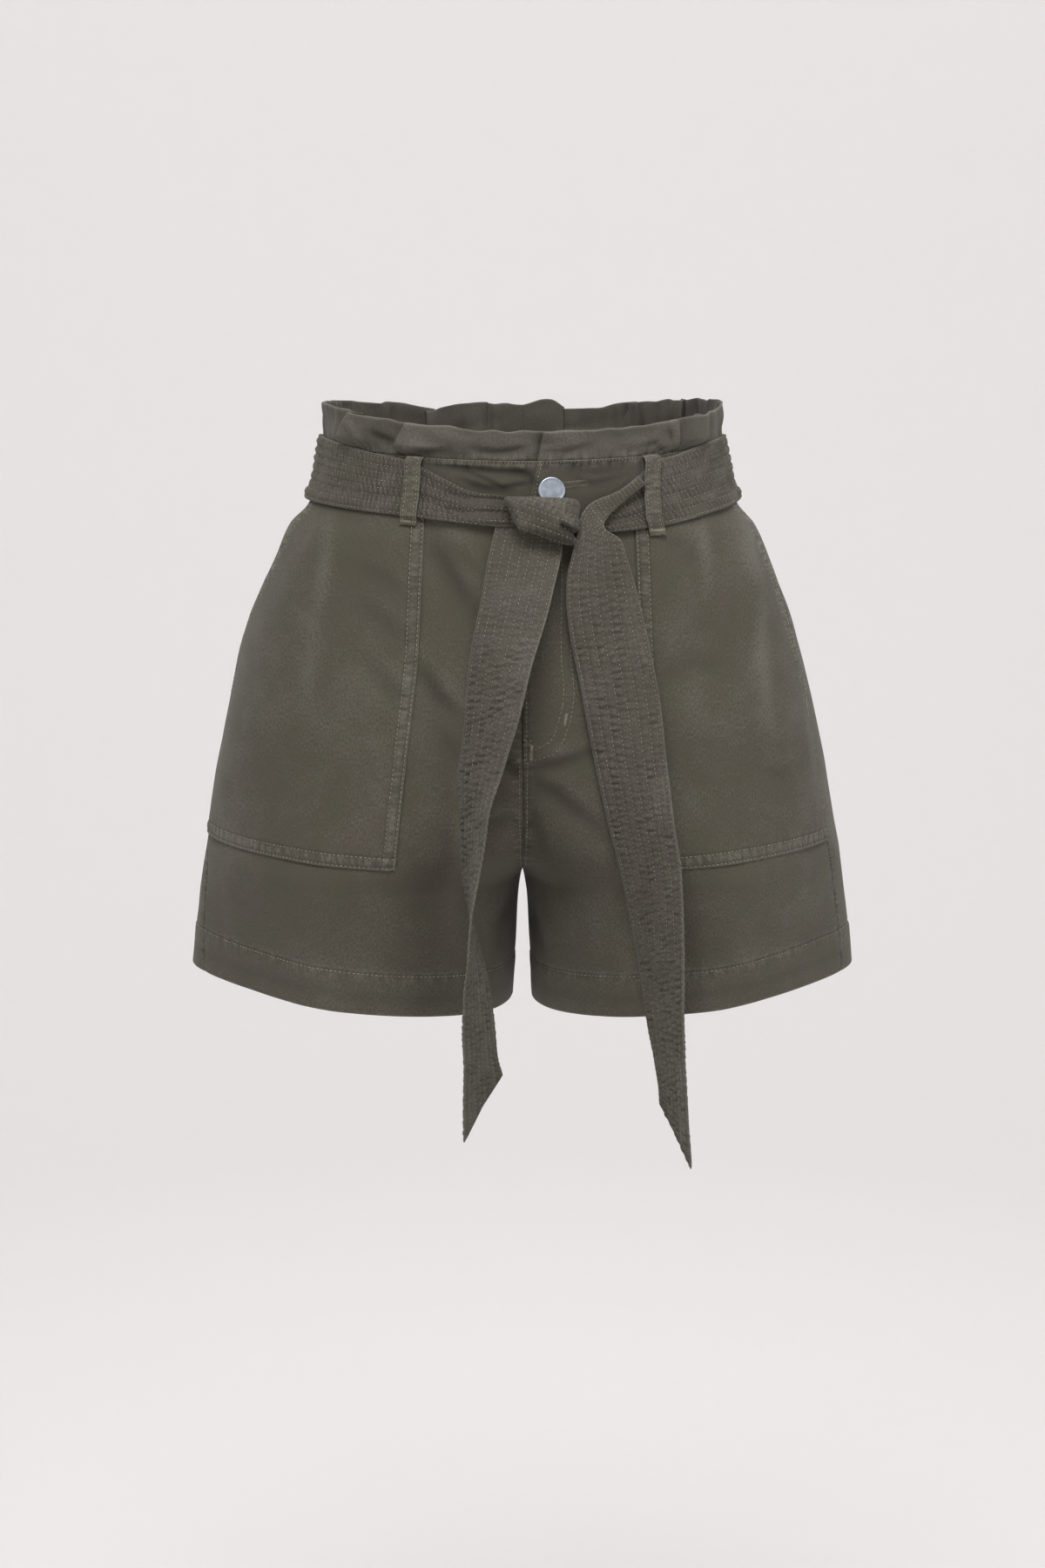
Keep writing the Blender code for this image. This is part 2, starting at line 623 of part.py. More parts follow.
def band_turns(label, z, turns):
    """Angles along one half of the waist, with a column every 2 degrees where it dips."""
    first, last = band_ends(label, z)
    if label == "right":
        dip = overlap_edge(z) - UNDERLAP_DIP
        return [mix(first, dip, share) for share in turns] + steps(dip + 2.0, last, DIP_COLUMNS)
    return [mix(first, last, share) for share in turns]


def underlap(label, around, z):
    """How far the wearer's right end of the waist dips to pass beneath the left end."""
    if label == "left":
        return 0.0
    edge = overlap_edge(z)
    sunk = ease(edge - 0.75 * UNDERLAP_DIP, edge - DIP_SETTLES, around)
    return (BAND_CLOTH + SEAM_GAP) * sunk


def make_waistband(label, material):
    outer, inner = [], []
    for z in steps(BAND_TOP, WAIST_SEAM, 3):
        turns = band_turns(label, z, steps(0.0, 1.0, 31))
        lifts = [-underlap(label, turn, z) for turn in turns]
        outer.append([ring_point(turn, z, lift) for turn, lift in zip(turns, lifts)])
        inner.append(
            [ring_point(turn, z, lift - BAND_CLOTH) for turn, lift in zip(turns, lifts)]
        )
    return add_wall(f"waistband_{label}", outer, inner, material)


def pleat_lift(around):
    """How far the frill's top stands out at its pleats."""
    total = 0.0
    for pleat in PLEATS:
        past = ((around - pleat.turn + 180.0) % 360.0 - 180.0) * pleat.toward
        rise = ease(-PLEAT_STEP, 0.0, past)
        fall = 1 - ease(0.0, pleat.reach, past)
        total = max(total, pleat.depth * rise * fall)
    return total


def frill_point(around, share, lift):
    """A point on the frill: share is 0 at its foot and 1 at its top edge."""
    foot = BAND_TOP + SEAM_GAP
    wrapped = (around + 180.0) % 360.0 - 180.0
    base = ring_point(around, BAND_TOP)
    top = read_table(FRILL_TOPS, "turn", "z", wrapped)
    low = base.z + SEAM_GAP
    stand = lift + FRILL_LEAN * share**1.5 + pleat_lift(around) * share**0.8
    flat = ring_point(around, foot)
    out = shell_normal(1 if wrapped >= 0 else -1, abs(wrapped) - 90.0, foot)
    out = Vector((out.x, out.y, 0.0)).normalized()
    return Vector((flat.x + out.x * stand, flat.y + out.y * stand, mix(low, top, share)))


def frill_turns(first, last):
    """Angles for the frill's columns, closer together where a pleat steps out."""
    count = max(2, round(abs(last - first) / FRILL_COLUMN))
    turns = steps(first, last, count + 1)
    for pleat in PLEATS:
        for offset in (-PLEAT_STEP, -PLEAT_STEP / 2, 0.0, PLEAT_STEP):
            turn = pleat.turn + offset * pleat.toward
            if first + 1.0 < turn < last - 1.0:
                turns.append(turn)
    turns.sort()
    kept = turns[:1]
    for turn in turns[1:-1]:
        if turn - kept[-1] > FRILL_CLOSEST and last - turn > FRILL_CLOSEST:
            kept.append(turn)
    return kept + turns[-1:]


def make_frill(label, material):
    """The paper-bag frill that stands above the waistband, with its pleats."""
    outer, inner = [], []
    first, last = band_ends(label, BAND_TOP)
    if label == "right":
        last = overlap_edge(BAND_TOP) - UNDERLAP_DIP
    shares = [(turn - first) / (last - first) for turn in frill_turns(first, last)]
    for share in FRILL_ROWS:
        z = mix(BAND_TOP + SEAM_GAP, BAND_TOP + FRILL_HEIGHT, share)
        turns = band_turns(label, z, shares)
        lifts = [-underlap(label, turn, z) for turn in turns]
        outer.append([frill_point(turn, share, lift) for turn, lift in zip(turns, lifts)])
        inner.append(
            [frill_point(turn, share, lift - FRILL_CLOTH) for turn, lift in zip(turns, lifts)]
        )
    return add_wall(f"frill_{label}", outer, inner, material)


# ---------------------------------------------------------------- belt, knot and loops


def channel_share(k):
    """-1 at a row of stitches, 1 on the crest of a channel, for the k-th point across the belt."""
    return 1.0 if k % 2 else -1.0


def over_pocket(around, z):
    """How much further the belt's lower edge stands off, where it passes over the pockets."""
    from_front = abs((around + 180.0) % 360.0 - 180.0)
    beside = ease(POCKET_FLARE_STARTS, POCKET_FLARE_ENDS, from_front)
    return (POCKET_LIFT + CLOTH) * beside * ease(POCKET_TOP + 10 * MM, POCKET_TOP + 4 * MM, z)


def make_belt_band(material):
    """The belt round the waist, from behind the knot and back to it."""
    first, last = BELT_STATIONS[0].turn, BELT_STATIONS[-1].turn
    count = round((first - last) / BELT_STEP) + 1
    across = CHANNELS * 2 + 1
    sections = []
    for turn in steps(first, last, count):
        top, bottom, lift, bunch = (
            read_table(BELT_STATIONS, "turn", column, turn)
            for column in ("top", "bottom", "lift", "bunch")
        )
        ridge = CHANNEL_RISE * (1 + BUNCH_RISE * bunch)
        ring = []
        for k in range(across):
            z = mix(top, bottom, k / (across - 1))
            edge = BELT_EDGE * BELT_CLOTH if k in (0, across - 1) else 0.0
            height = lift + BELT_CLOTH - edge + ridge * (channel_share(k) - 1) / 2
            ring.append(ring_point(turn, z, height + over_pocket(turn, z)))
        for share in (1.0, 0.7, 0.35, 0.0):
            z = mix(top, bottom, share)
            ring.append(ring_point(turn, z, lift + over_pocket(turn, z)))
        sections.append(ring)
    return add_loft("belt_band", sections, material)


def tail_sections(stations):
    """Sections along a belt end, at even distances on a smooth path through its stations."""
    rows = []
    last = len(stations) - 1
    for i in range(last):
        before, start = stations[max(i - 1, 0)], stations[i]
        end, after = stations[i + 1], stations[min(i + 2, last)]
        length = math.dist(start[:3], end[:3])
        spans = max(1, round(length / TAIL_SPAN))
        for k in range(spans):
            t = k / spans
            weights = (
                (-t + 2 * t**2 - t**3) / 2, (2 - 5 * t**2 + 3 * t**3) / 2,
                (t + 4 * t**2 - 3 * t**3) / 2, (-(t**2) + t**3) / 2,
            )
            columns = zip(before, start, end, after)
            rows.append(TailStation(*(sum(w * v for w, v in zip(weights, c)) for c in columns)))
    return rows + [stations[-1]]


def tail_ring(row):
    """The belt's section at one station: quilted on its face, plain on its back."""
    turn, tilt = math.radians(row.turn), math.radians(row.tilt)
    across_ways = Vector(
        (math.cos(turn) * math.cos(tilt), -math.sin(turn), -math.cos(turn) * math.sin(tilt))
    )
    front_ways = Vector((-math.sin(turn), -math.cos(turn), 0.0))
    middle = Vector((row.x, row.y, row.z))
    across = CHANNELS * 2 + 1
    places = []
    for k in range(across):
        edge = BELT_EDGE * row.thick if k in (0, across - 1) else 0.0
        height = row.thick / 2 - edge + CHANNEL_RISE * (channel_share(k) - 1) / 2
        places.append((mix(-1.0, 1.0, k / (across - 1)), height))
    places += [(1.0, -row.thick / 2), (-1.0, -row.thick / 2)]
    ring = []
    for t, height in places:
        point = middle + across_ways * (t * row.width / 2) + front_ways * height
        point.z -= row.skew * t
        ring.append(point)
    return ring


def make_tail(name, stations, material):
    """A belt end, from its loop or from under the knot down to its slanted tip."""
    sections = [tail_ring(row) for row in tail_sections(stations)]
    return add_loft(name, sections, material)


def make_knot(material):
    """The belt's wrap at the front, as one soft rounded solid."""
    sections = []
    for row in KNOT_STATIONS:
        ring = []
        for k in range(KNOT_SIDES):
            angle = 2 * math.pi * k / KNOT_SIDES
            up = math.copysign(abs(math.cos(angle)) ** KNOT_SQUARENESS, math.cos(angle))
            front = math.copysign(abs(math.sin(angle)) ** KNOT_SQUARENESS, math.sin(angle))
            share = (1 - up) / 2
            ring.append(
                Vector(
                    (
                        mix(row.x_top, row.x_bottom, share),
                        KNOT_BACK - row.depth * (1 + front) / 2,
                        mix(row.z_top, row.z_bottom, share),
                    )
                )
            )
        sections.append(ring)
    return add_loft("belt_knot", sections, material)


def make_loop(name, loop, material):
    """A belt loop: sewn to the waistband's top, over the belt, and sewn again below it."""
    seat = SEAM_GAP + LOOP_CLOTH / 2
    foot = seat + (POCKET_LIFT + CLOTH if abs(loop.top_turn) < 90 else 0.0)
    foot_rise = mix(foot, LOOP_OVER_BELT, 0.5)
    way = (
        (loop.top, seat),
        (loop.top - 0.8 * MM, mix(seat, LOOP_OVER_BELT, 0.3)),
        (loop.top - 1.8 * MM, LOOP_OVER_BELT),
        (mix(loop.top, loop.bottom, 0.30), LOOP_OVER_BELT + LOOP_BOW),
        (mix(loop.top, loop.bottom, 0.55), LOOP_OVER_BELT + LOOP_BOW),
        (mix(loop.top, loop.bottom, 0.75), LOOP_OVER_BELT + LOOP_BOW),
        (loop.bottom + 5.2 * MM, LOOP_OVER_BELT),
        (loop.bottom + 3.6 * MM, foot_rise),
        (loop.bottom + 2.4 * MM, foot),
        (loop.bottom, foot),
    )
    middles, sideways = [], []
    for z, lift in way:
        around = mix(loop.top_turn, loop.bottom_turn, (loop.top - z) / (loop.top - loop.bottom))
        flare = over_pocket(around, z) if lift >= foot_rise else 0.0
        middles.append(ring_point(around, z, lift + flare))
        sideways.append((ring_point(around + 1.0, z) - ring_point(around - 1.0, z)).normalized())
    half_width, half_thick = LOOP_WIDTH / 2, LOOP_CLOTH / 2
    corners = ((-1.0, 0.5), (-0.75, 1.0), (0.75, 1.0), (1.0, 0.5), (1.0, -1.0), (-1.0, -1.0))
    sections = []
    for i, middle in enumerate(middles):
        along = middles[min(i + 1, len(middles) - 1)] - middles[max(i - 1, 0)]
        outwards = sideways[i].cross(along).normalized()
        sections.append(
            [
                middle + sideways[i] * (a * half_width) + outwards * (b * half_thick)
                for a, b in corners
            ]
        )
    return add_loft(name, sections, material)


def make_button(material):
    """A turned metal button with a low rim, on the upper end of the waistband."""
    seat = ring_point(BUTTON_TURN, BUTTON_HEIGHT, 1.5 * SEAM_GAP)
    out = shell_normal(1, BUTTON_TURN - 90.0, BUTTON_HEIGHT)
    profile = (
        (0.0, 0.0), (0.93, 0.0), (1.0, 0.35), (1.0, 0.72), (0.95, 0.95), (0.86, 1.0),
        (0.78, 0.86), (0.0, 0.86),
    )
    mesh = bmesh.new()
    spots = [
        mesh.verts.new((r * BUTTON_RADIUS, 0.0, h * BUTTON_THICK)) for r, h in profile
    ]
    edges = [mesh.edges.new(pair) for pair in zip(spots, spots[1:])]
    bmesh.ops.spin(
        mesh, geom=spots + edges, cent=(0, 0, 0), axis=(0, 0, 1), angle=2 * math.pi,
        steps=BUTTON_SIDES,
    )
    bmesh.ops.remove_doubles(mesh, verts=mesh.verts, dist=1e-6)
    bmesh.ops.recalc_face_normals(mesh, faces=mesh.faces)
    data = bpy.data.meshes.new("button")
    mesh.to_mesh(data)
    mesh.free()
    data.materials.append(material)
    data.shade_smooth()
    data.set_sharp_from_angle(angle=math.radians(35))
    button = bpy.data.objects.new("button", data)
    button.location = seat
    button.rotation_euler = out.to_track_quat("Z", "Y").to_euler()
    bpy.context.scene.collection.objects.link(button)
    return button


# ---------------------------------------------------------------- the shorts


def clear_scene():
    for thing in list(bpy.data.objects):
        bpy.data.objects.remove(thing)


def main():
    clear_scene()
    cloth = make_material("olive_twill", (0.094, 0.084, 0.067), 0.85)
    belt_cloth = make_material("quilted_twill", (0.088, 0.079, 0.064), 0.88)
    metal = make_material("button_metal", (0.46, 0.50, 0.54), 0.35, 1.0)

    for label, side in (("left", 1), ("right", -1)):
        make_panel(f"front_{label}", side, False, cloth)
        make_panel(f"back_{label}", side, True, cloth)
        make_pocket(f"pocket_{label}", side, cloth)
        make_waistband(label, cloth)
        make_frill(label, cloth)

    make_belt_band(belt_cloth)
    make_knot(belt_cloth)
    make_tail("belt_end_right", RIGHT_TAIL, belt_cloth)
    make_tail("belt_end_left", LEFT_TAIL, belt_cloth)

    for number, loop in enumerate(FRONT_LOOPS + BACK_LOOPS, start=1):
        make_loop(f"belt_loop_{number}", loop, cloth)
    make_button(metal)


main()
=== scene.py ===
"""The look of paper-bag-waist cargo shorts with large patch pockets and a quilted tie belt.

Each cloth piece is a fine closed wall on the same form as its CAD solid, with creases, puckers
and seams pressed into it. Its sewing is made by Geometry Nodes, stitch by stitch.
Frame: +Z up, the front faces -Y, +X is the wearer's left. Units are metres, angles are degrees.
"""

from __future__ import annotations

import json
import logging
import math
from dataclasses import dataclass
from enum import Enum
from typing import Callable, NamedTuple, Sequence

import bpy
import numpy as np
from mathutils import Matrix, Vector
from mathutils.bvhtree import BVHTree

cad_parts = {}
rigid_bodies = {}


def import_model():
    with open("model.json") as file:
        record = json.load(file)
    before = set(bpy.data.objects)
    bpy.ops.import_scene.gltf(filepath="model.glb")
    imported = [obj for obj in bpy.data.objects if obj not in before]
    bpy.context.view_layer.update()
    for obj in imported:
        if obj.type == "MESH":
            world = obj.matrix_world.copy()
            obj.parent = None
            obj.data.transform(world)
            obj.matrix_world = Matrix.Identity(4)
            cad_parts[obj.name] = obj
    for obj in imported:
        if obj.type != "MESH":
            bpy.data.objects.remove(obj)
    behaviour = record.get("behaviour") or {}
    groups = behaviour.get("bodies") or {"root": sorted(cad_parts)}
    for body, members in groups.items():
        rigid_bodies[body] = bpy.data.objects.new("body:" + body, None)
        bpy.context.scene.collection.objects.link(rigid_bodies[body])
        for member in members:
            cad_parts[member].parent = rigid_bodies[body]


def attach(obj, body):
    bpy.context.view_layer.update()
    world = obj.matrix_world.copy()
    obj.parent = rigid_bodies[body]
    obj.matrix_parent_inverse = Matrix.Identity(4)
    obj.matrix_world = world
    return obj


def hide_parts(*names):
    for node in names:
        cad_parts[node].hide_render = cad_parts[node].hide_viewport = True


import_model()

log = logging.getLogger("shorts")
Array = np.ndarray
Material = bpy.types.Material
Socket = bpy.types.NodeSocket
Group = bpy.types.NodeTree
MM = 0.001
BODY = "root"

# ---- the form's sizes
CLOTH = 1.2 * MM
BAND_CLOTH = 2.4 * MM
FRILL_CLOTH = 1.8 * MM
HEM_CLOTH = 2.2 * MM
BELT_CLOTH = 2.8 * MM
LOOP_CLOTH = 1.6 * MM
SEAM_GAP = 0.3 * MM
BAND_TOP = 20.5 * MM
WAIST_SEAM = -14.5 * MM
HEM = -320.6 * MM
HEM_DEPTH = 26.0 * MM
HEM_STEP = 0.8 * MM
FLY_WIDTH = 34.0 * MM
FLY_BOTTOM = -163.0 * MM
POCKET_LIFT = 0.7 * MM
POCKET_TOP = -15.5 * MM
POCKET_BOTTOM = -228.5 * MM
MOUTH_BOTTOM = -138.0 * MM
BELT_LIFT = 0.6 * MM
CHANNELS = 7
WAVES = 14
JOIN = 0.02 * MM
UNITLESS = {
    "side", "turn", "spread", "toward", "reach", "slant", "bunch", "tilt", "lean", "seam_left", "seam_right",
    "top_turn", "bottom_turn",
}


def rows_of(kind: type, *rows: tuple[float, ...]) -> tuple:
    """Rows of a table, given in millimetres apart from their angles and shares.

    Args:
        kind: the kind of row.
        rows: the columns in order. The last ones may be left out.

    Returns:
        The rows, in metres.
    """
    sizes = [1 if name in UNITLESS else MM for name in kind._fields]
    return tuple(kind(*(value * size for value, size in zip(row, sizes))) for row in rows)


class Section(NamedTuple):
    """One level of the form. Above the crotch `inner` is negative: the halves run together."""

    z: float
    outer: float
    inner: float
    front: float
    back: float
    seam_left: float
    seam_right: float


SECTIONS = rows_of(
    Section,
    (60, 116.5, -116.5, 90.5, 90.5, 0, -8), (20.5, 123.8, -123.8, 92.5, 92.5, 0, -8),
    (1, 128, -128, 96.5, 96.5, 0, -8), (-18.5, 133, -133, 100, 100.5, 1, -8),
    (-31, 144, -143, 103, 104.5, 2, -7), (-52.6, 154, -151.5, 106, 110, 5, -6),
    (-85, 166, -158, 108.5, 116.5, 10, -4), (-118, 176, -150, 110.5, 122, 15, -3),
    (-151.5, 184, -128, 111.5, 125, 18, -2), (-185, 191, -88, 111, 124.5, 20, 0),
    (-218, 196.5, -40, 109, 120.5, 21, 3), (-235, 199.2, -8.5, 107.5, 117.5, 21, 5),
    (-244, 200.5, 0.3, 106.5, 115.8, 21, 12), (-286, 206.2, 4.3, 100.5, 106.5, 20, 17),
    (-320.6, 209.5, 6.6, 96.5, 101, 20, 21),
)


class PocketEdge(NamedTuple):
    """How far from the middle the patch pockets' inner edges lie, at one height."""

    z: float
    left: float
    right: float


POCKET_EDGES = rows_of(
    PocketEdge,
    (-15, 66.5, 58), (-60, 68, 59.8), (-104, 70, 62), (-151, 74, 67.4), (-229, 80, 76.6),
)


class Fold(NamedTuple):
    """A broad soft ridge (or, with a negative height, a trough) that runs down the cloth."""

    side: int
    turn: float
    spread: float
    height: float
    top: float
    bottom: float


FOLDS = rows_of(
    Fold,
    (-1, -34, 10, 1.6, -26, -190), (-1, -56, 10, -1.2, -40, -240), (-1, -92, 10, -1.6, -236, -318),
    (1, -30, 10, 1.6, -30, -230), (1, -50, 10, -1.2, -30, -200), (1, -100, 10, -1.8, -236, -318),
    (1, -72, 9, 1.6, -200, -345), (-1, -70, 9, 1.6, -200, -345), (1, 38, 7, 2.2, -30, -210),
    (-1, 38, 7, 2.2, -30, -190), (1, 64, 7, -2, -180, -330), (-1, 60, 8, -2, -190, -330),
)


class Pleat(NamedTuple):
    """A pleat in the frill: the cloth steps out at `turn` and falls back over `reach` degrees."""

    turn: float
    toward: int
    depth: float
    reach: float
    slant: float = 0.0


PLEATS = rows_of(
    Pleat,
    (-53, 1, 6.5, 17, 10), (-30, 1, 6.5, 24, 6), (55, -1, 6, 13, -3), (43, -1, 3, 14, -1),
    (-80, 1, 1.5, 18), (83, -1, 1.5, 14), (-112, -1, 4.5, 22), (-150, 1, 5, 17), (-169, 1, 0.9, 9),
    (167, -1, 3.4, 12), (150, 1, 2.2, 16, -5), (125, -1, 4.5, 22),
)


class FrillTop(NamedTuple):
    """How high the frill stands at an angle round the waist."""

    turn: float
    z: float


FRILL_TOPS = rows_of(
    FrillTop,
    (-180, 37), (-166, 38.5), (-150, 33.5), (-143, 38.5), (-115, 42), (-90, 44), (-60, 42.5),
    (-38, 36.5), (-15, 32.5), (0, 31.5), (20, 32.5), (40, 36), (58, 39), (90, 44), (120, 42.5),
    (148, 39.5), (165, 33.5), (172, 40.2), (180, 37),
)


class BeltStation(NamedTuple):
    """The belt's upper and lower edge on the form, and how far its back stands off the form."""

    turn: float
    top: float
    bottom: float
    lift: float
    bunch: float


BELT_STATIONS = rows_of(
    BeltStation,
    (2, -4.5, -21, 4.8, 1), (-6, -2, -21.2, 4.8, 1), (-13, 0.5, -20, 3.4, 0.9),
    (-19, 6.5, -18.6, 1.8, 0.6), (-27, 14.3, -17.2, 0.6, 0.4), (-33, 18.5, -16.5, 0.6, 0.3),
    (-42, 20, -16, 0.6, 0.2), (-60, 22.8, -15.5, 0.6, 0.1), (-90, 23.8, -15.5, 0.6, 0.1),
    (-124, 17.2, -17, 0.6, 0), (-180, 16.5, -18.5, 0.6, 0), (-236, 17.2, -17, 0.6, 0),
    (-270, 23.8, -15.5, 0.6, 0.1), (-300, 22.8, -18.8, 0.6, 0.1), (-316, 18.5, -22.2, 0.6, 0.1),
    (-323, 16, -23.6, 0.6, 0.2), (-329, 7, -24.4, 0.6, 0.3), (-334, 0.5, -25.2, 0.8, 0.5),
    (-342, -9, -25.8, 1.2, 0.8),
)


class TailStation(NamedTuple):
    """One station along a belt end: its middle, width, swing, drop, thickness and slant cut."""

    x: float
    y: float
    z: float
    width: float
    turn: float = 0.0
    tilt: float = 0.0
    thick: float = BELT_CLOTH
    skew: float = 0.0


RIGHT_TAIL = rows_of(
    TailStation,
    (4.3, -102.8, -20.5, 40.5), (4.1, -104, -25.3, 41), (2.8, -106.3, -33, 42),
    (1, -110.5, -42, 43, 6), (-2, -115, -55, 44, 18), (-5.6, -120.5, -71.1, 45, 26),
    (-13.3, -125.5, -101.9, 45, 34), (-19.6, -130, -138.3, 45, 46), (-26.9, -133.5, -174.8, 45, 61),
    (-29, -133, -201.1, 45, 69), (-30.1, -131.5, -222.2, 45, 76), (-30.7, -129, -248.8, 45, 87),
    (-28.2, -126, -280.8, 45, 101), (-26.2, -123.5, -317.2, 45, 111), (-24.7, -122, -348, 45, 116),
    (-23.8, -121, -373.5, 45, 119, 0, 2.8, 15.5),
)

LEFT_TAIL = rows_of(
    TailStation,
    (71.2, -89.8, 3, 6.4, 0, 50, 3.6), (59.2, -96.5, -5.6, 7, 0, 50, 3.8),
    (45.5, -103.5, -13.8, 12.8, 0, 44, 4), (41.2, -108, -21.2, 16, 0, 22, 4.2),
    (44.6, -110, -29, 25.8, 0, 6, 4.2), (45, -111.2, -40, 32.2, 0, 0, 3.6),
    (45.7, -112, -53, 39, 0, 0, 3), (48, -112.8, -70, 44), (51.8, -114, -91.6, 46, 2),
    (58, -116.5, -122.4, 46, 6), (63.3, -121.5, -158.6, 45, 18), (69.7, -125, -195.1, 45, 29),
    (76.1, -126.5, -226.5, 45, 38), (82.2, -124.5, -279.6, 45, 54), (85.6, -122.5, -314.4, 45, 62),
    (89.5, -121.5, -350, 45, 67), (92.2, -121, -391.2, 45, 69, 0, 2.8, 14),
)


class KnotStation(NamedTuple):
    """One section across the knot, leaning from its upper to its lower end."""

    x_top: float
    x_bottom: float
    z_top: float
    z_bottom: float
    depth: float


KNOT_STATIONS = rows_of(
    KnotStation,
    (-10.8, -5, -6.2, -21.2, 5), (-9.2, -2.4, -5.4, -23.6, 10), (-3, 4.2, -5.2, -26, 13),
    (7, 12, -5.2, -28.8, 14.2), (17, 20.5, -5.6, -32.6, 14.2), (25.5, 28, -6, -33.8, 13),
    (31.5, 32, -7, -32.2, 10), (34, 33.6, -10.5, -29, 5),
)


class Loop(NamedTuple):
    """A belt loop: its angle from centre front and nominal height at each end."""

    top_turn: float
    top: float
    bottom_turn: float
    bottom: float


LOOPS = rows_of(
    Loop,
    (-29.5, 20.4, -28.6, -22.2), (36.2, 20.4, 32.6, -29), (-124, 20.4, -124, -24),
    (124, 20.4, 124, -24), (180, 20.4, 180, -24),
)


class Side(Enum):
    """The wearer's left or right, with its sign along X."""

    LEFT = 1
    RIGHT = -1

    @property
    def label(self) -> str:
        """The word that the node names use."""
        return self.name.lower()


class Face(Enum):
    """The front or back of the shorts, with the sign of its angles."""

    FRONT = -1
    BACK = 1


# ---- small tools


def ease(low: float, high: float, at: Array | float) -> Array:
    """A smooth rise from 0 at low to 1 at high.

    Args:
        low: where it starts to rise. It may be above high, for a fall.
        high: where it reaches 1.
        at: the places to read it at.

    Returns:
        Values from 0 to 1.
    """
    t = np.clip((np.asarray(at, float) - low) / (high - low), 0.0, 1.0)
    return t * t * (3 - 2 * t)


def mix(a: Array | float, b: Array | float, t: Array | float) -> Array:
    """The value a share t of the way from a to b."""
    return a + (b - a) * t


def hump(distance: Array, at: float, width: float) -> Array:
    """A soft rise to 1 at one distance, which fades over a width."""
    return np.exp(-(((distance - at) / width) ** 2))


def wrapped(angle: Array | float) -> Array | float:
    """The same angle, from -180 to 180."""
    return (angle + 180.0) % 360.0 - 180.0


def smooth(values: Array, slopes: Array, cell: Array, span: Array, t: Array) -> Array:
    """A smooth curve with given slopes, at a share t of the way across each cell."""
    return (
        values[cell] * (2 * t**3 - 3 * t**2 + 1) + values[cell + 1] * (3 * t**2 - 2 * t**3)
        + slopes[cell] * span * (t**3 - 2 * t**2 + t) + slopes[cell + 1] * span * (t**3 - t**2)
    )


def unit(vectors: Array) -> Array:
    """The same directions, one long."""
    return vectors / np.maximum(np.linalg.norm(vectors, axis=-1, keepdims=True), 1e-12)


class Table:
    """Rows with named columns, read as smooth curves along one of them."""

    def __init__(self, rows: Sequence[NamedTuple], place: str) -> None:
        """Sorts the rows by the column that the others are read along."""
        order = sorted(rows, key=lambda row: getattr(row, place))
        self.columns = dict(zip(order[0]._fields, np.array(order, float).T))
        self.spots = self.columns[place]

    def read(self, column: str, at: Array | float) -> Array:
        """Reads one column.

        Args:
            column: its name.
            at: places along the table, held to its ends.

        Returns:
            The curve's values there.
        """
        spots, heights = self.spots, self.columns[column]
        at = np.clip(np.asarray(at, float), spots[0], spots[-1])
        cell = np.clip(np.searchsorted(spots, at, side="left") - 1, 0, len(spots) - 2)
        before = np.maximum(np.arange(len(spots)) - 1, 0)
        after = np.minimum(np.arange(len(spots)) + 1, len(spots) - 1)
        slopes = (heights[after] - heights[before]) / (spots[after] - spots[before])
        span = spots[cell + 1] - spots[cell]
        return smooth(heights, slopes, cell, span, (at - spots[cell]) / span)


def wander(at: Array, step: float, seed: int) -> Array:
    """A smooth random line.

    Args:
        at: places along it, in metres.
        step: the distance between two independent values.
        seed: picks the line.

    Returns:
        Values from -1 to 1.
    """
    values = np.random.default_rng(seed).uniform(-1, 1, 4096)
    place = np.asarray(at, float) / step + 1000.0
    cell = np.floor(place).astype(int)
    t = place - cell
    t = t * t * (3 - 2 * t)
    return mix(values[cell % 4096], values[(cell + 1) % 4096], t)


def mottle(u: Array, v: Array, size: float, seed: int) -> Array:
    """A smooth random field, as a sum of waves in random directions.

    Args:
        u: places along one way, in metres.
        v: places along the other way.
        size: the usual width of a bump.
        seed: picks the field.

    Returns:
        Values mostly from -1 to 1.
    """
    rng = np.random.default_rng(seed)
    total = np.zeros(np.broadcast(u, v).shape)
    for _ in range(WAVES):
        angle, phase = rng.uniform(0, 2 * math.pi, 2)
        number = math.pi / size * rng.uniform(0.6, 1.4)
        total += np.sin(number * (u * math.cos(angle) + v * math.sin(angle)) + phase)
    return total / math.sqrt(WAVES)


def spaced(length: float, gap: Callable[[float], float], rim: float = 0.0) -> Array:
    """Rising distances from 0 to a length.

    Args:
        length: the last distance.
        gap: gives the gap that follows each distance.
        rim: the radius of rounded ends, which get a few more.

    Returns:
        The distances.
    """
    marks = [0.0]
    while marks[-1] < length:
        marks.append(marks[-1] + gap(marks[-1]))
    marks = np.array(marks) * length / marks[-1]
    if not rim:
        return marks
    edge = rim * np.array([0.0, 0.12, 0.4, 0.85])
    inside = marks[(marks > 1.4 * rim) & (marks < length - 1.4 * rim)]
    return np.concatenate([edge, inside, length - edge[::-1]])


def near_ends(length: float, coarse: float, fine: float, reach: float) -> Callable[[float], float]:
    """A gap for `spaced` that is fine within reach of both ends."""
    return lambda at: fine if min(at, length - at) < reach else coarse


def rounding(distance: Array, thick: Array | float) -> Array:
    """How far each face of a wall draws in towards its middle near a free edge."""
    radius = np.asarray(thick) / 2
    near = np.clip(1 - distance / radius, 0, 1)
    return 0.9 * radius * (1 - np.sqrt(1 - near**2))


def lengths(points: Array, axis: int) -> Array:
    """Distances along a grid of points, from its first row or column."""
    spans = np.linalg.norm(np.diff(points, axis=axis), axis=-1)
    start = np.zeros_like(np.take(spans, [0], axis=axis))
    return np.concatenate([start, np.cumsum(spans, axis=axis)], axis=axis)


# ---- the form


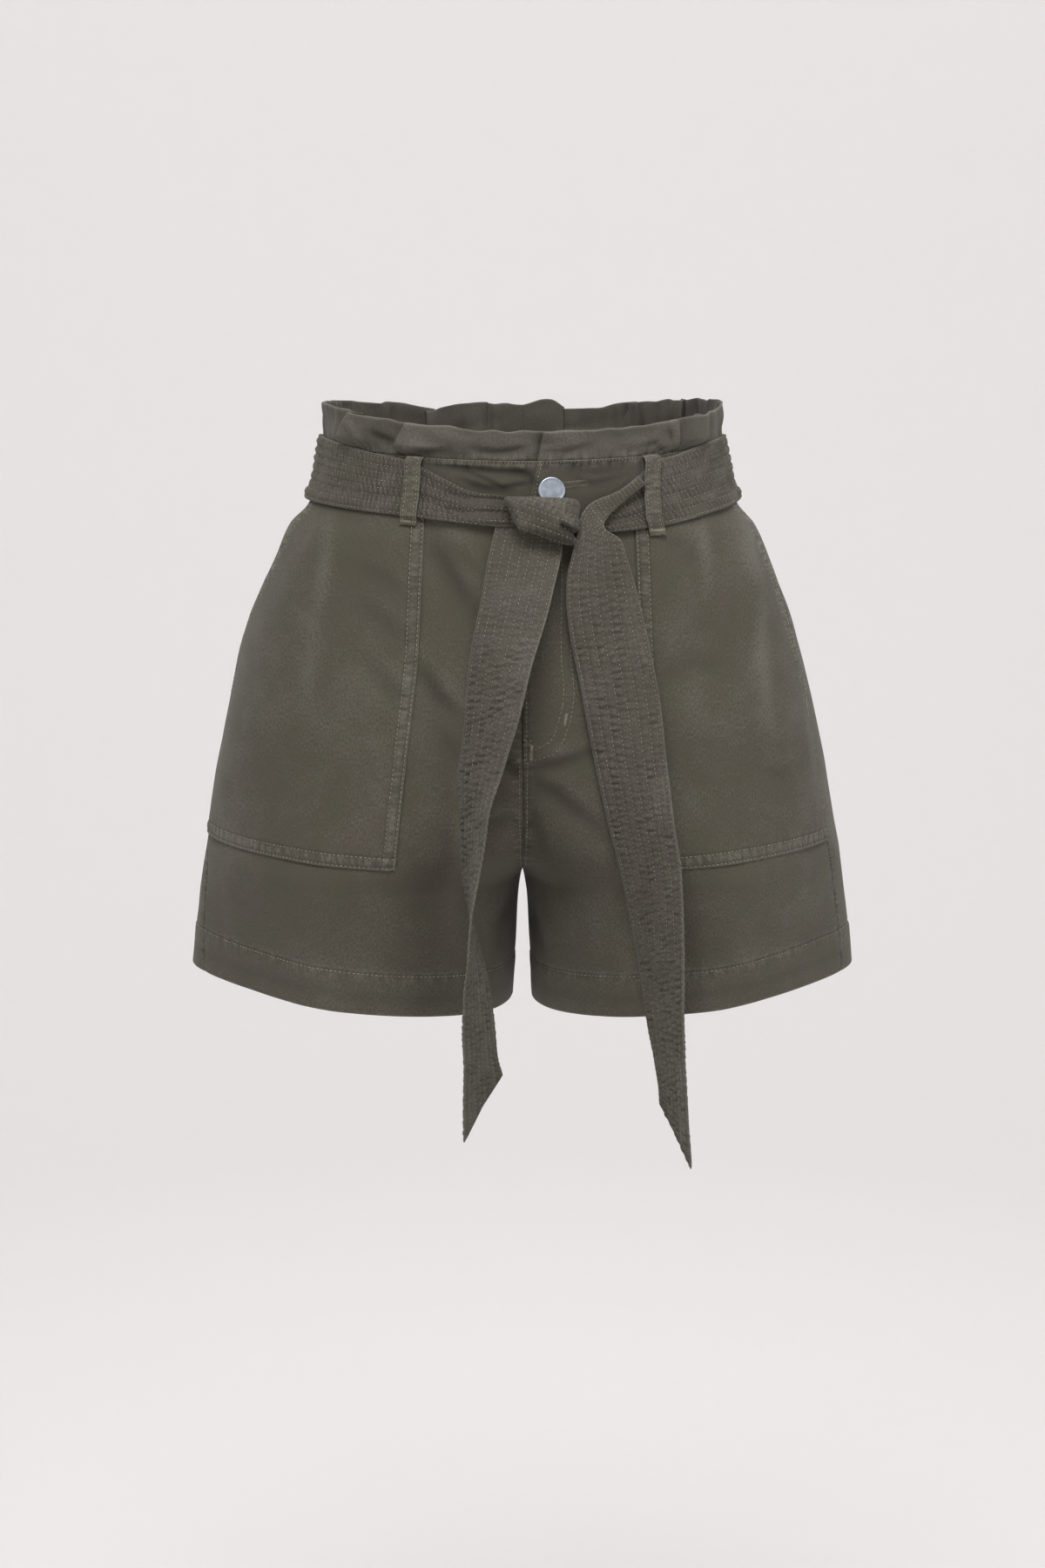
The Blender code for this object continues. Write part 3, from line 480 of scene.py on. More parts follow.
class Crease(NamedTuple):
    """How pale the creases' crests are, partly worn and partly painted highlight, and how dark their troughs
    are, as painted shade.

    A lean above 0 turns it into a fold: a ridge on one side of the line and a trough on the other.
    """

    x1: float
    z1: float
    x2: float
    z2: float
    x3: float
    z3: float
    width: float
    height: float
    lean: float = 0.0


FRONT_CREASES = rows_of(
    Crease,
    (-56.8, -25.2, -41.3, -50.3, -22.8, -79.6, 5.5, -2.2, 0.3),
    (-50, -25, -33, -42, -20, -56, 3.5, -1.2, 0.4),
    (-60.2, -105.7, -47.8, -123, -34.4, -137.2, 4.6, -2.4, 0.4),
    (-56, -133, -43, -152, -32, -164, 6, -1.1, 0.3), (1.1, -167.1, 21, -163.1, 44, -154.6, 3.8, -2, 0.4),
    (3.2, -173.5, 21, -182.8, 50, -207.5, 5, -1.9, 0.3), (3, -190, 10, -206, 14, -224, 3.5, -1, 0.3),
    (-23, -157.1, -12, -165, -1.1, -172.5, 3.4, -1.7, -0.4),
    (-28, -201, -14, -198.5, -1.1, -196, 4, -1.5, 0.4), (-6, -256, -13, -275, -15, -295, 4, -1.2),
    (6, -264, 10, -280, 15, -298, 3.4, -1.1, 0.4), (-97, -47.4, -81, -54, -68.2, -63, 4.5, -0.8, 0.4),
    (-98.2, -68.2, -80, -80, -64.8, -93.2, 5, -0.9, 0.4),
    (-90.7, -104.6, -79, -116, -67.6, -130.9, 5, -0.9, 0.4),
    (-114, -20, -116.1, -43.3, -123, -86, 4.5, 1.3), (-122.5, -82, -127, -110, -131, -140, 5.5, 0.8),
    (107.5, -24, 108.3, -45, 109.5, -68, 4, 1.1), (130, -18, 135, -40, 139, -62, 4.5, 1.4),
    (143.6, -70.5, 142.6, -107.4, 148, -152, 5, 1.3),
    (142.3, -171.2, 156, -176.5, 170, -171.8, 3.6, -0.8, 0.4), (81, -30, 96, -36, 112, -54, 5, -1, 0.3),
    (83, -110, 101, -105, 118, -108, 5, -0.7, 0.4), (-143, -70, -132, -80, -118, -93, 3.4, 0.5, 0.3),
)

BACK_CREASES = rows_of(
    Crease,
    (8, -30, 22, -48, 42, -62, 5, -1, 0.3), (-8, -30, -26, -46, -38, -70, 5, -1.1, 0.3),
    (6, -190, 38, -183, 70, -166, 7, -1.8, 0.4), (-6, -194, -34, -188, -76, -174, 7, -1.7, 0.4),
    (10, -214, 42, -210, 88, -198, 6, -1.3, 0.3), (-10, -220, -48, -218, -84, -206, 6, -1.3, 0.3),
    (86, -28, 92, -60, 90, -100, 6, -1), (-90, -30, -96, -64, -93, -110, 6, -1),
)


WAIST_CREASES = rows_of(
    Crease,
    (-57.5, 12, -12, 8.5, 6.7, 7.8, 1.3, -1.3, 0.3), (-56, 14.6, -12, 11.2, 6.7, 10.4, 1.5, 0.7, 0.3),
    (-36.5, 10.4, -12, -1, 7.8, 2, 1.5, -1.2, 0.3), (12, 12.5, 38, 12.2, 64, 13.2, 1.4, -1, 0.3),
    (-36.4, 3.3, -23.4, -0.8, -5.2, -3.4, 2.2, -1.4, 0.3), (-10.4, 11, 5.2, 5.8, 8.8, 0.7, 2, -1.2, 0.4),
    (-52, 13.5, -31.2, 12, 0, 11.5, 2.4, -1, 0.4), (18, 11, 42, 8.5, 64, 10, 2.6, -0.8, 0.4),
    (28.6, 5.4, 41.6, 1.3, 62, 5.5, 2, -0.8, 0.3), (70, 22.2, 80.6, 24.5, 85.8, 16.5, 1.8, -1.3, 0.3),
    (-28.6, 21.4, -15.6, 19.8, 2, 22.4, 1.8, -1.5, 0.3), (10, 18.8, 26, 20, 40, 24, 2, -1.3, 0.3),
    (-66, 20.5, -56, 20, -44, 21.2, 1.8, -1.2, 0.3), (-92, 31, -83, 27.5, -74, 23.5, 2.2, -1.5, 0.3),
    (88, 33, 90, 28, 91, 23, 1.8, -1.2, 0.4), (48, 29, 60, 30, 73, 34, 3, -0.8, 0.4),
    (-50, 28.5, -30, 26.5, -10, 27, 3.4, 0.8, 0.3),
)


class Nearest(NamedTuple):
    """Where places lie from a path: how far, on which side, and what share of the way along."""

    apart: Array
    side: Array
    along: Array


def nearest(path: Sequence[tuple[float, float]], x: Array, z: Array) -> Nearest:
    """Measures places (x, z) from a path of straight pieces.

    Args:
        path: its corners.
        x: places across.
        z: heights.

    Returns:
        The distances, sides and shares.
    """
    corners = np.array(path)
    shape = np.broadcast(x, z).shape
    best, side, along = np.full(shape, 1e9), np.zeros(shape), np.zeros(shape)
    for i, way in enumerate(np.diff(corners, axis=0)):
        dx, dz = x - corners[i, 0], z - corners[i, 1]
        t = np.clip((dx * way[0] + dz * way[1]) / (way @ way), 0, 1)
        apart = np.hypot(dx - t * way[0], dz - t * way[1])
        closer = apart < best
        best = np.where(closer, apart, best)
        side = np.where(closer, np.sign(dx * way[1] - dz * way[0]), side)
        along = np.where(closer, (i + t) / (len(corners) - 1), along)
    return Nearest(best, side, along)


def crease_height(creases: Sequence[Crease], x: Array, z: Array) -> Array:
    """How far some creases push the cloth out.

    Args:
        creases: the creases.
        x: places across, in metres.
        z: heights.

    Returns:
        The push at each place, negative where it goes in.
    """
    total = np.zeros(np.broadcast(x, z).shape)
    for crease in creases:
        spot = nearest(np.reshape(crease[:6], (3, 2)), x, z)
        near = spot.apart / crease.width
        fold = spot.side * near * np.exp(0.5 - near**2 / 2)
        fade = np.sin(math.pi * np.clip(spot.along * 0.88 + 0.06, 0, 1)) ** 0.8
        total += 1.25 * crease.height * fade * mix(np.exp(-(near**2)), fold, crease.lean)
    return total


@dataclass(frozen=True)
class Form:
    """The filled-out form that every cloth piece lies on, as in the CAD source."""

    fullness: float = 0.05
    side_pinch: float = -0.25
    pinch_starts: float = -120.0 * MM
    hem_tilt: float = 0.103
    hem_tilt_starts: float = -160.0 * MM
    leg_middle: float = 107.0 * MM
    hem_raise: float = 0.5 * MM
    front_dip_top: float = 6.3 * MM
    front_dip_seam: float = 3.5 * MM
    back_dip_top: float = 4.0 * MM
    dip_ends: float = -100.0 * MM
    fly_step: float = 0.8 * MM
    sections: Table = Table(SECTIONS, "z")
    pocket_edges: Table = Table(POCKET_EDGES, "z")

    def waist_dip(self, turn: Array, z: Array) -> Array:
        """How much lower a point lies than its nominal height, at the front and at the back."""
        share = np.sin(np.radians(turn)) ** 2
        rise = ease(WAIST_SEAM, BAND_TOP, z)
        dip = mix(self.front_dip_seam, self.front_dip_top, rise)
        above = np.where(turn < 0, dip, self.back_dip_top * rise)
        return share * above * ease(self.dip_ends, WAIST_SEAM, z)

    def fold_height(self, side: Array, turn: Array, z: Array) -> Array:
        """The broad folds' height at each place."""
        total = np.zeros(np.broadcast(side, turn, z).shape)
        for fold in FOLDS:
            down = np.clip((fold.top - z) / (fold.top - fold.bottom), 0, 1)
            along = np.sin(math.pi * down**0.7)
            height = fold.height * along * hump(turn, fold.turn, fold.spread)
            total = total + np.where(side == fold.side, height, 0.0)
        return total

    def fly_rise(self, side: Array, turn: Array, x: Array, z: Array) -> Array:
        """How far the wearer's left front stands proud beside the fly."""
        beside = 1 - ease(FLY_WIDTH * 0.6, FLY_WIDTH, x)
        above = ease(FLY_BOTTOM - 8 * MM, FLY_BOTTOM + 8 * MM, z)
        rise = self.fly_step * beside * above * ease(WAIST_SEAM, WAIST_SEAM - 12 * MM, z)
        return np.where((side > 0) & (turn <= 0), rise, 0.0)

    def base(self, side: Array | int, turn: Array, z: Array) -> Array:
        """Points on the form.

        Args:
            side: 1 for the wearer's left and -1 for the right.
            turn: 0 at the outer side, -90 at the front and 90 at the back.
            z: nominal heights.

        Returns:
            Points, with their three coordinates last.
        """
        side, turn, z = np.broadcast_arrays(side, turn, z)
        outer, inner = self.sections.read("outer", z), self.sections.read("inner", z)
        depth = np.where(turn < 0, self.sections.read("front", z), self.sections.read("back", z))
        middle, half = (outer + inner) / 2, (outer - inner) / 2
        c, s = np.cos(np.radians(turn)), np.sin(np.radians(turn))
        pinched = mix(self.fullness, self.side_pinch, ease(self.pinch_starts, HEM, z))
        full = np.where(c < 0, self.fullness, pinched)
        x = middle + half * c * (1 + full * s * s)
        y = depth * s * (1 + full * c * c)
        out = unit(np.stack([c / half, s / depth], axis=-1))
        hem = self.hem_raise * ease(HEM + HEM_DEPTH + HEM_STEP, HEM + HEM_DEPTH, z)
        rise = self.fold_height(side, turn, z) + self.fly_rise(side, turn, x, z) + hem
        x, y = x + out[..., 0] * rise, y + out[..., 1] * rise
        tilt = self.hem_tilt * (x - self.leg_middle) * ease(self.hem_tilt_starts, HEM, z)
        return np.stack([side * x, y, z - self.waist_dip(turn, z) + tilt], axis=-1)

    def normal(self, side: Array | int, turn: Array, z: Array) -> Array:
        """The directions straight out of the form."""
        small_turn, small_z = 0.4, 0.4 * MM
        side, turn, z = np.broadcast_arrays(side, turn, z)
        along = self.base(side, turn + small_turn, z) - self.base(side, turn - small_turn, z)
        down = self.base(side, turn, z - small_z) - self.base(side, turn, z + small_z)
        normal = unit(np.cross(along, down))
        angle = np.radians(turn)
        outwards = np.stack([side * np.cos(angle), np.sin(angle), np.zeros_like(angle)], axis=-1)
        inwards = np.sum(normal * outwards, axis=-1, keepdims=True) < 0
        return np.where(inwards, -normal, normal)

    def creased(self, side: int, turn: Array, z: Array) -> tuple[Array, Array, Array]:
        """Points on the creased cloth.

        Args:
            side: 1 or -1.
            turn: angles round the half.
            z: nominal heights.

        Returns:
            The points, the form's normals there, and how far the creases push.
        """
        place, normal = self.base(side, turn, z), self.normal(side, turn, z)
        x, height = place[..., 0], place[..., 2]
        front, back = (crease_height(rows, x, height) for rows in (FRONT_CREASES, BACK_CREASES))
        push = np.where(np.broadcast_to(turn, front.shape) < 0, front, back)
        return place + normal * push[..., None], normal, push

    def ring(self, around: Array, z: Array, lift: Array | float = 0.0) -> tuple[Array, Array]:
        """Points by their angle from the centre front, positive towards +X.

        Args:
            around: the angles.
            z: nominal heights.
            lift: how far to stand off.

        Returns:
            The points and the form's normals there.
        """
        around, z = np.broadcast_arrays(around, z)
        around = wrapped(around)
        side, turn = np.where(around >= 0, 1, -1), np.abs(around) - 90.0
        normal = self.normal(side, turn, z)
        lift = np.broadcast_to(np.asarray(lift, float), turn.shape)
        return self.base(side, turn, z) + normal * lift[..., None], normal

    def turn_where(self, side: Array | int, z: Array, x: Array | float, face: Face) -> Array:
        """The angles at which the form reaches the distance x from the middle, by halving."""
        z, x = np.broadcast_arrays(np.asarray(z, float), np.asarray(x, float))
        low, high = np.zeros(z.shape), np.full(z.shape, 180.0)
        for _ in range(40):
            trial = (low + high) / 2
            beyond = side * self.base(side, face.value * trial, z)[..., 0] > x
            low, high = np.where(beyond, trial, low), np.where(beyond, high, trial)
        return face.value * low

    def seam_turn(self, side: int, z: Array) -> Array:
        """The side seam's angle at each height."""
        return -self.sections.read("seam_left" if side > 0 else "seam_right", z)

    def inner_turn(self, side: int, z: Array, face: Face) -> Array:
        """Where a panel ends: the centre seam above the crotch, the inside-leg seam below it."""
        return np.clip(self.turn_where(side, z, JOIN, face), -179.99, 179.99)

    def pocket_turn(self, side: int, z: Array) -> Array:
        """The angle of a pocket's inner edge at each height."""
        edge = self.pocket_edges.read("left" if side > 0 else "right", z)
        return self.turn_where(side, z, edge, Face.FRONT)

    def mouth_turn(self, side: int, z: Array) -> Array:
        """The angle of a pocket's outer edge: the slanted mouth, then the side seam."""
        slant = {1: 13.5, -1: 22.0}[side]
        return self.seam_turn(side, z) - 0.6 - slant * ease(MOUTH_BOTTOM, POCKET_TOP, z)


FORM = Form()

# ---- meshes


@dataclass
class Row:
    """One line of stitches: points on the cloth and the way the cloth faces there."""

    points: Array
    facing: Array

    def cut(self, start: float, stop: float) -> Row:
        """The part of the row between two distances along it."""
        along = lengths(self.points, 0)
        kept = (along >= start) & (along <= (stop if stop > 0 else along[-1] + stop))
        return Row(self.points[kept], self.facing[kept])


def grid_facing(points: Array, behind: Array) -> Array:
    """The way a grid of points faces, away from the points behind it."""
    facing = unit(np.cross(np.gradient(points, axis=1), np.gradient(points, axis=0)))
    wrong = np.sum(facing * (points - behind), axis=-1, keepdims=True) < 0
    return np.where(wrong, -facing, facing)


@dataclass
class Wall:
    """A closed wall of cloth between two grids of points, with the values its material reads: wear and
    painted highlight, painted shade and darker tone, and puckering.
    """

    outer: Array
    inner: Array
    wear: Array
    tone: Array
    gather: Array

    def faces(self) -> Array:
        """The wall's quads: both grids and the rim between them."""
        rows, columns = self.outer.shape[:2]
        index = np.arange(rows * columns).reshape(rows, columns)
        quads = np.stack([index[:-1, :-1], index[:-1, 1:], index[1:, 1:], index[1:, :-1]], axis=-1)
        quads = quads.reshape(-1, 4)
        rim = np.concatenate([index[0, :], index[1:, -1], index[-1, -2::-1], index[-2:0:-1, 0]])
        there = np.roll(rim, -1)
        back = rows * columns
        sides = np.stack([there, rim, rim + back, there + back], axis=-1)
        return np.concatenate([quads, quads[:, ::-1] + back, sides])

    def build(self, name: str, straight: bool = False, inside: float = 0.0) -> bpy.types.Object:
        """Makes the wall's object.

        Args:
            name: the piece's name.
            straight: whether it was cut as a straight strip.
            inside: the painted shade of its inner face.

        Returns:
            The object, at the origin.
        """
        along, middle = lengths(self.outer, 1), self.outer.shape[1] // 2
        if straight:
            along = np.broadcast_to(along.mean(axis=0), along.shape)
        across = along - along[:, middle : middle + 1]
        fall = np.broadcast_to(lengths(self.outer, 0)[:, middle : middle + 1], across.shape)
        places = np.stack([across, -fall], axis=-1).reshape(-1, 2)
        plain = 0 * self.tone.ravel()
        looks = (("wear", self.wear, 0.0), ("tone", self.tone, inside), ("gather", self.gather, 0.0))
        layers = {label: np.concatenate([ahead.ravel(), plain + behind]) for label, ahead, behind in looks}
        points = np.concatenate([self.outer.reshape(-1, 3), self.inner.reshape(-1, 3)])
        return build_mesh(name, points, self.faces(), np.concatenate([places, places]), layers)

    def join(self, column: int, side: Side, rows: Array | slice = slice(None)) -> None:
        """Sets an edge at the middle of the garment, just clear of the other half's edge."""
        for grid in (self.outer, self.inner):
            grid[rows, column, 0] = JOIN + 0.004 * MM * side.value

    def beside(self, distance: float, far: bool = False, rows: slice = slice(None)) -> Row:
        """A row down the wall, at a distance from its first or its far edge.

        Args:
            distance: how far in.
            far: whether it is measured from the last column.
            rows: which of the wall's rows it crosses.

        Returns:
            The row.
        """
        points, behind = self.outer[rows], self.inner[rows]
        return row_at(points, grid_facing(points, behind), distance, far)

    def across(self, distance: float, low: bool = True) -> Row:
        """A row along the wall, at a distance from its lower or its upper edge."""
        facing = grid_facing(self.outer, self.inner)
        return row_at(self.outer.swapaxes(0, 1), facing.swapaxes(0, 1), distance, low)

    def drawn(self, path: Sequence[tuple[float, float]], step: float = 1.0 * MM) -> Row:
        """A row along a smooth line through places (x, z), dropped onto the wall from the front."""
        rows, columns = self.outer.shape[:2]
        quads = self.faces()[: (rows - 1) * (columns - 1)]
        return dropped(self.outer, quads, smooth_line(np.array(path, float), step))


def row_at(points: Array, facing: Array, distance: float, far: bool) -> Row:
    """Reads each line of a grid at a distance along it, from its start or from its end."""
    along = lengths(points, 1)
    place = along[:, -1] - distance if far else np.full(len(along), distance)
    lines = zip(place, along, np.dstack([points, facing]))
    spots = np.array([[np.interp(spot, marks, line[:, k]) for k in range(6)] for spot, marks, line in lines])
    return Row(spots[:, :3], unit(spots[:, 3:]))


def dropped(points: Array, quads: Array, places: Array, least: float = 0.0) -> Row:
    """A row of places (x, z), dropped straight onto a surface from the front.

    Args:
        points: the surface's corners.
        quads: its faces.
        places: where the row runs.
        least: how squarely the surface must face the front there.

    Returns:
        The row.
    """
    tree = BVHTree.FromPolygons(points.reshape(-1, 3).tolist(), quads.tolist())
    found, facing = [], []
    for x, z in places:
        place, normal, *_ = tree.ray_cast(Vector((x, -1, z)), Vector((0, 1, 0)))
        if place is not None and abs(normal.y) >= least:
            found.append(place)
            facing.append(normal if normal.y < 0 else -normal)
    return Row(np.array(found), np.array(facing))


def smooth_line(points: Array, step: float) -> Array:
    """Points a step apart on a smooth curve through a few given ones."""
    if len(points) == 2:
        points = np.insert(points, 1, points.mean(axis=0), axis=0)
    marks = lengths(points, 0)
    at = np.linspace(0, marks[-1], max(2, round(marks[-1] / step) + 1))
    cell = np.clip(np.searchsorted(marks, at, side="right") - 1, 0, len(marks) - 2)
    span = np.diff(marks)[cell][:, None]
    return smooth(points, np.gradient(points, marks, axis=0), cell, span, (at - marks[cell])[:, None] / span)


def ring_quads(rings: Array) -> Array:
    """The quads between rings of points."""
    index = np.arange(rings.shape[0] * rings.shape[1]).reshape(rings.shape[:2])
    after = np.roll(index, -1, axis=1)
    return np.stack([index[:-1], after[:-1], after[1:], index[1:]], axis=-1).reshape(-1, 4)


def build_mesh(
    name: str, points: Array, quads: Array, places: Array, layers: dict[str, Array]
) -> bpy.types.Object:
    """Makes an object from arrays of quads, with its faces turned outwards.

    Args:
        name: the object's name.
        points: the corners.
        quads: four corner numbers for each face.
        places: each corner's place on the flat cloth, in metres.
        layers: values for the corners, by name.

    Returns:
        The linked object.
    """
    a, b, c, d = (points[quads[:, i]] for i in range(4))
    volume = np.sum(a * np.cross(b, c)) + np.sum(a * np.cross(c, d))
    if volume < 0:
        quads = quads[:, ::-1]
    mesh = bpy.data.meshes.new(name)
    mesh.vertices.add(len(points))
    mesh.vertices.foreach_set("co", points.astype(np.float32).ravel())
    mesh.loops.add(quads.size)
    mesh.loops.foreach_set("vertex_index", quads.astype(np.int32).ravel())
    mesh.polygons.add(len(quads))
    mesh.polygons.foreach_set("loop_start", np.arange(0, quads.size, 4, dtype=np.int32))
    mesh.update(calc_edges=True)
    mesh.validate()
    flat = mesh.uv_layers.new(name="cloth")
    corner = np.empty(len(mesh.loops), np.int32)
    mesh.loops.foreach_get("vertex_index", corner)
    flat.data.foreach_set("uv", places[corner].astype(np.float32).ravel())
    for layer, values in layers.items():
        store = mesh.attributes.new(layer, "FLOAT", "POINT")
        store.data.foreach_set("value", values.astype(np.float32))
    mesh.shade_smooth()
    piece = bpy.data.objects.new(name, mesh)
    bpy.context.scene.collection.objects.link(piece)
    return piece


def loft(name: str, rings: Array, places: Array, layers: dict[str, Array]) -> bpy.types.Object:
    """Makes a closed object through rings of points, with both ends drawn together.

    Args:
        name: the object's name.
        rings: points by ring, then round the ring, an even number of them.
        places: each point's place on the flat cloth.
        layers: values for the points, by name.

    Returns:
        The linked object.
    """
    count, around = rings.shape[:2]
    points, spots = rings.reshape(-1, 3), places.reshape(-1, 2)
    ends = np.arange(around)[::-1], np.arange(around) + (count - 1) * around
    fans = [
        [*(ring[(k + step) % around] for step in range(3)), len(points) + end]
        for end, ring in enumerate(ends)
        for k in range(0, around, 2)
    ]
    points, spots = (
        np.concatenate([grid, [grid[ring].mean(axis=0) for ring in ends]]) for grid in (points, spots)
    )
    values = {label: np.append(layer, [layer.mean()] * 2) for label, layer in layers.items()}
    return build_mesh(name, points, np.concatenate([ring_quads(rings), fans]), spots, values)


# ---- finishes


class Graph:
    """Adds nodes to a tree and joins them."""

    def __init__(self, tree: Group) -> None:
        """Keeps the tree that the nodes go into."""
        self.tree = tree

    def node(self, kind: str, settings: dict | None = None, **inputs: object) -> bpy.types.Node:
        """Adds a node.

        Args:
            kind: the node's type.
            settings: its properties.
            inputs: values or sockets for its inputs, by name with _ for a space.

        Returns:
            The node.
        """
        node = self.tree.nodes.new(kind)
        for name, value in (settings or {}).items():
            setattr(node, name, value)
        for name, value in inputs.items():
            self.feed(node.inputs[name.replace("_", " ")], value)
        return node

    def feed(self, socket: Socket, value: object) -> None:
        """Joins a socket to another one, or sets its value."""
        if isinstance(value, Socket):
            self.tree.links.new(value, socket)
        else:
            socket.default_value = value

    def math(self, operation: str, *values: object) -> Socket:
        """Adds a Math node and gives its result."""
        node = self.tree.nodes.new("ShaderNodeMath")
        node.operation = operation
        for socket, value in zip(node.inputs, values):
            self.feed(socket, value)
        return node.outputs[0]

    def blend(self, share: object, a: object, b: object) -> Socket:
        """Mixes two colours."""
        node = self.tree.nodes.new("ShaderNodeMix")
        node.data_type = "RGBA"
        self.feed(node.inputs["Factor"], share)
        self.feed(node.inputs[6], a)
        self.feed(node.inputs[7], b)
        return node.outputs[2]

    def span(
        self, value: object, low: float, high: float, to_low: float = 0.0, to_high: float = 1.0
    ) -> Socket:
        """Maps a value from one range to another, held to its ends."""
        node = self.node("ShaderNodeMapRange")
        for socket, number in zip(node.inputs, (value, low, high, to_low, to_high)):
            self.feed(socket, number)
        return node.outputs[0]

    def held(self, value: Socket) -> Socket:
        """Holds a value between 0 and 1."""
        return self.math("MINIMUM", self.math("MAXIMUM", value, 0.0), 1.0)

    def noise(self, place: Socket, scale: float, detail: float, **inputs: float) -> Socket:
        """Adds a noise texture and gives its value."""
        inputs |= {"Vector": place, "Scale": scale, "Detail": detail}
        return self.node("ShaderNodeTexNoise", **inputs).outputs["Fac"]

    def mapped(self, place: Socket, **inputs: tuple[float, float, float]) -> Socket:
        """Stretches or turns a place."""
        return self.node("ShaderNodeMapping", Vector=place, **inputs).outputs["Vector"]

    def bump(self, height: Socket, strength: float, distance: float, **inputs: Socket) -> Socket:
        """Adds a Bump node and gives its normal."""
        inputs |= {"Strength": strength, "Distance": distance, "Height": height}
        return self.node("ShaderNodeBump", **inputs).outputs["Normal"]


def start_material(name: str) -> tuple[Material, Graph, bpy.types.Node]:
    """A new material, the graph of its nodes, and its shader."""
    material = bpy.data.materials.new(name)
    material.use_nodes = True
    return material, Graph(material.node_tree), material.node_tree.nodes["Principled BSDF"]


def make_group(name: str, inputs: dict[str, tuple[str, object]], outputs: dict[str, str]) -> Group:
    """Starts a shader node group with named sockets.

    Args:
        name: the group's name.
        inputs: a socket type and a value for each input.
        outputs: a socket type for each output.

    Returns:
        The group, with its input and output nodes.
    """
    group = bpy.data.node_groups.new(name, "ShaderNodeTree")
    for label, (kind, value) in inputs.items():
        socket = group.interface.new_socket(label, in_out="INPUT", socket_type=kind)
        if value is not None:
            socket.default_value = value
    for label, kind in outputs.items():
        group.interface.new_socket(label, in_out="OUTPUT", socket_type=kind)
    group.nodes.new("NodeGroupInput")
    group.nodes.new("NodeGroupOutput")
    return group


def make_weave() -> Group:
    """The twill's diagonal ribs and flecks, from a place on the flat cloth in metres."""
    group = make_group(
        "twill_weave", {"Place": ("NodeSocketVector", None), "Rib": ("NodeSocketFloat", 0.62 * MM)},
        {"Height": "NodeSocketFloat", "Fleck": "NodeSocketFloat"},
    )
    graph = Graph(group)
    given, result = group.nodes["Group Input"].outputs, group.nodes["Group Output"].inputs
    parts = graph.node("ShaderNodeSeparateXYZ", Vector=given["Place"]).outputs
    turns = graph.math("DIVIDE", 2 * math.pi, given["Rib"])
    slant = (graph.math("MULTIPLY", parts["X"], 0.9), graph.math("MULTIPLY", parts["Y"], 0.44))
    slant = graph.math("ADD", *slant)
    slip = graph.math("MULTIPLY", graph.noise(given["Place"], 420.0, 2.0), 2.6)
    ribs = graph.math("SINE", graph.math("ADD", graph.math("MULTIPLY", slant, turns), slip))
    threads = graph.math("SINE", graph.math("MULTIPLY", parts["Y"], graph.math("MULTIPLY", turns, 1.7)))
    woven = graph.math("ADD", graph.math("MULTIPLY", ribs, 0.36), graph.math("MULTIPLY", threads, 0.14))
    graph.feed(result["Height"], graph.math("ADD", woven, 0.5))
    stretched = graph.mapped(given["Place"], Scale=(980.0, 540.0, 1.0))
    graph.feed(result["Fleck"], graph.noise(stretched, 1.0, 4.0, Roughness=0.6))
    return group


def make_puckers() -> Group:
    """Fine puckers across a seam, along the cloth's length for a gather above 0, else down it."""
    group = make_group(
        "seam_puckers", {"Place": ("NodeSocketVector", None), "Gather": ("NodeSocketFloat", 0.0)},
        {"Height": "NodeSocketFloat"},
    )
    graph = Graph(group)
    given = group.nodes["Group Input"].outputs
    ways = []
    for stretch, limit in (((330.0, 85.0, 1.0), "MAXIMUM"), ((85.0, 330.0, 1.0), "MINIMUM")):
        height = graph.noise(graph.mapped(given["Place"], Scale=stretch), 1.0, 1.5)
        height = graph.span(height, 0.32, 0.68, -1.0)
        ways.append(graph.math("MULTIPLY", height, graph.math(limit, given["Gather"], 0.0)))
    graph.feed(group.nodes["Group Output"].inputs["Height"], graph.math("ADD", *ways))
    return group


def make_wash_and_shade() -> Group:
    """The garment wash with painted light: broad shifts of hue and random fading, paler crests that are
    partly worn and partly painted highlight, and troughs darkened as painted shade.
    """
    colour, number = "NodeSocketColor", "NodeSocketFloat"
    inputs = {"Place": ("NodeSocketVector", None), "Fleck": (number, 0.5)}
    inputs |= {"Wear": (number, 0.0), "Tone": (number, 0.0)}
    inputs |= {name: (colour, None) for name in ("Ground", "Warm", "Worn", "Deep")}
    group = make_group("garment_wash", inputs, {"Color": colour, "Roughness": number})
    graph = Graph(group)
    given, result = group.nodes["Group Input"].outputs, group.nodes["Group Output"].inputs
    warm = graph.span(graph.noise(given["Place"], 30.0, 6.0, Roughness=0.72), 0.42, 0.62)
    base = graph.blend(warm, given["Ground"], given["Warm"])
    faded = graph.span(graph.noise(given["Place"], 16.0, 7.0, Roughness=0.72), 0.38, 0.68, -0.10, 0.21)
    fleck = graph.span(given["Fleck"], 0.27, 0.73, -0.25, 0.27)
    worn = graph.math("ADD", graph.math("ADD", given["Wear"], faded), fleck)
    # Wear, fading, flecks and painted highlight turn the cloth paler.
    base = graph.blend(graph.held(worn), base, given["Worn"])
    # Painted shade darkens the troughs towards the deep colour, as do dark flecks.
    trough = graph.held(graph.math("MULTIPLY", given["Tone"], -1.0))
    deep = graph.math("MAXIMUM", graph.math("MULTIPLY", fleck, -1.5), trough)
    graph.feed(result["Color"], graph.blend(deep, base, given["Deep"]))
    graph.feed(result["Roughness"], graph.math("SUBTRACT", 0.9, graph.math("MULTIPLY", given["Wear"], 0.08)))
    return group


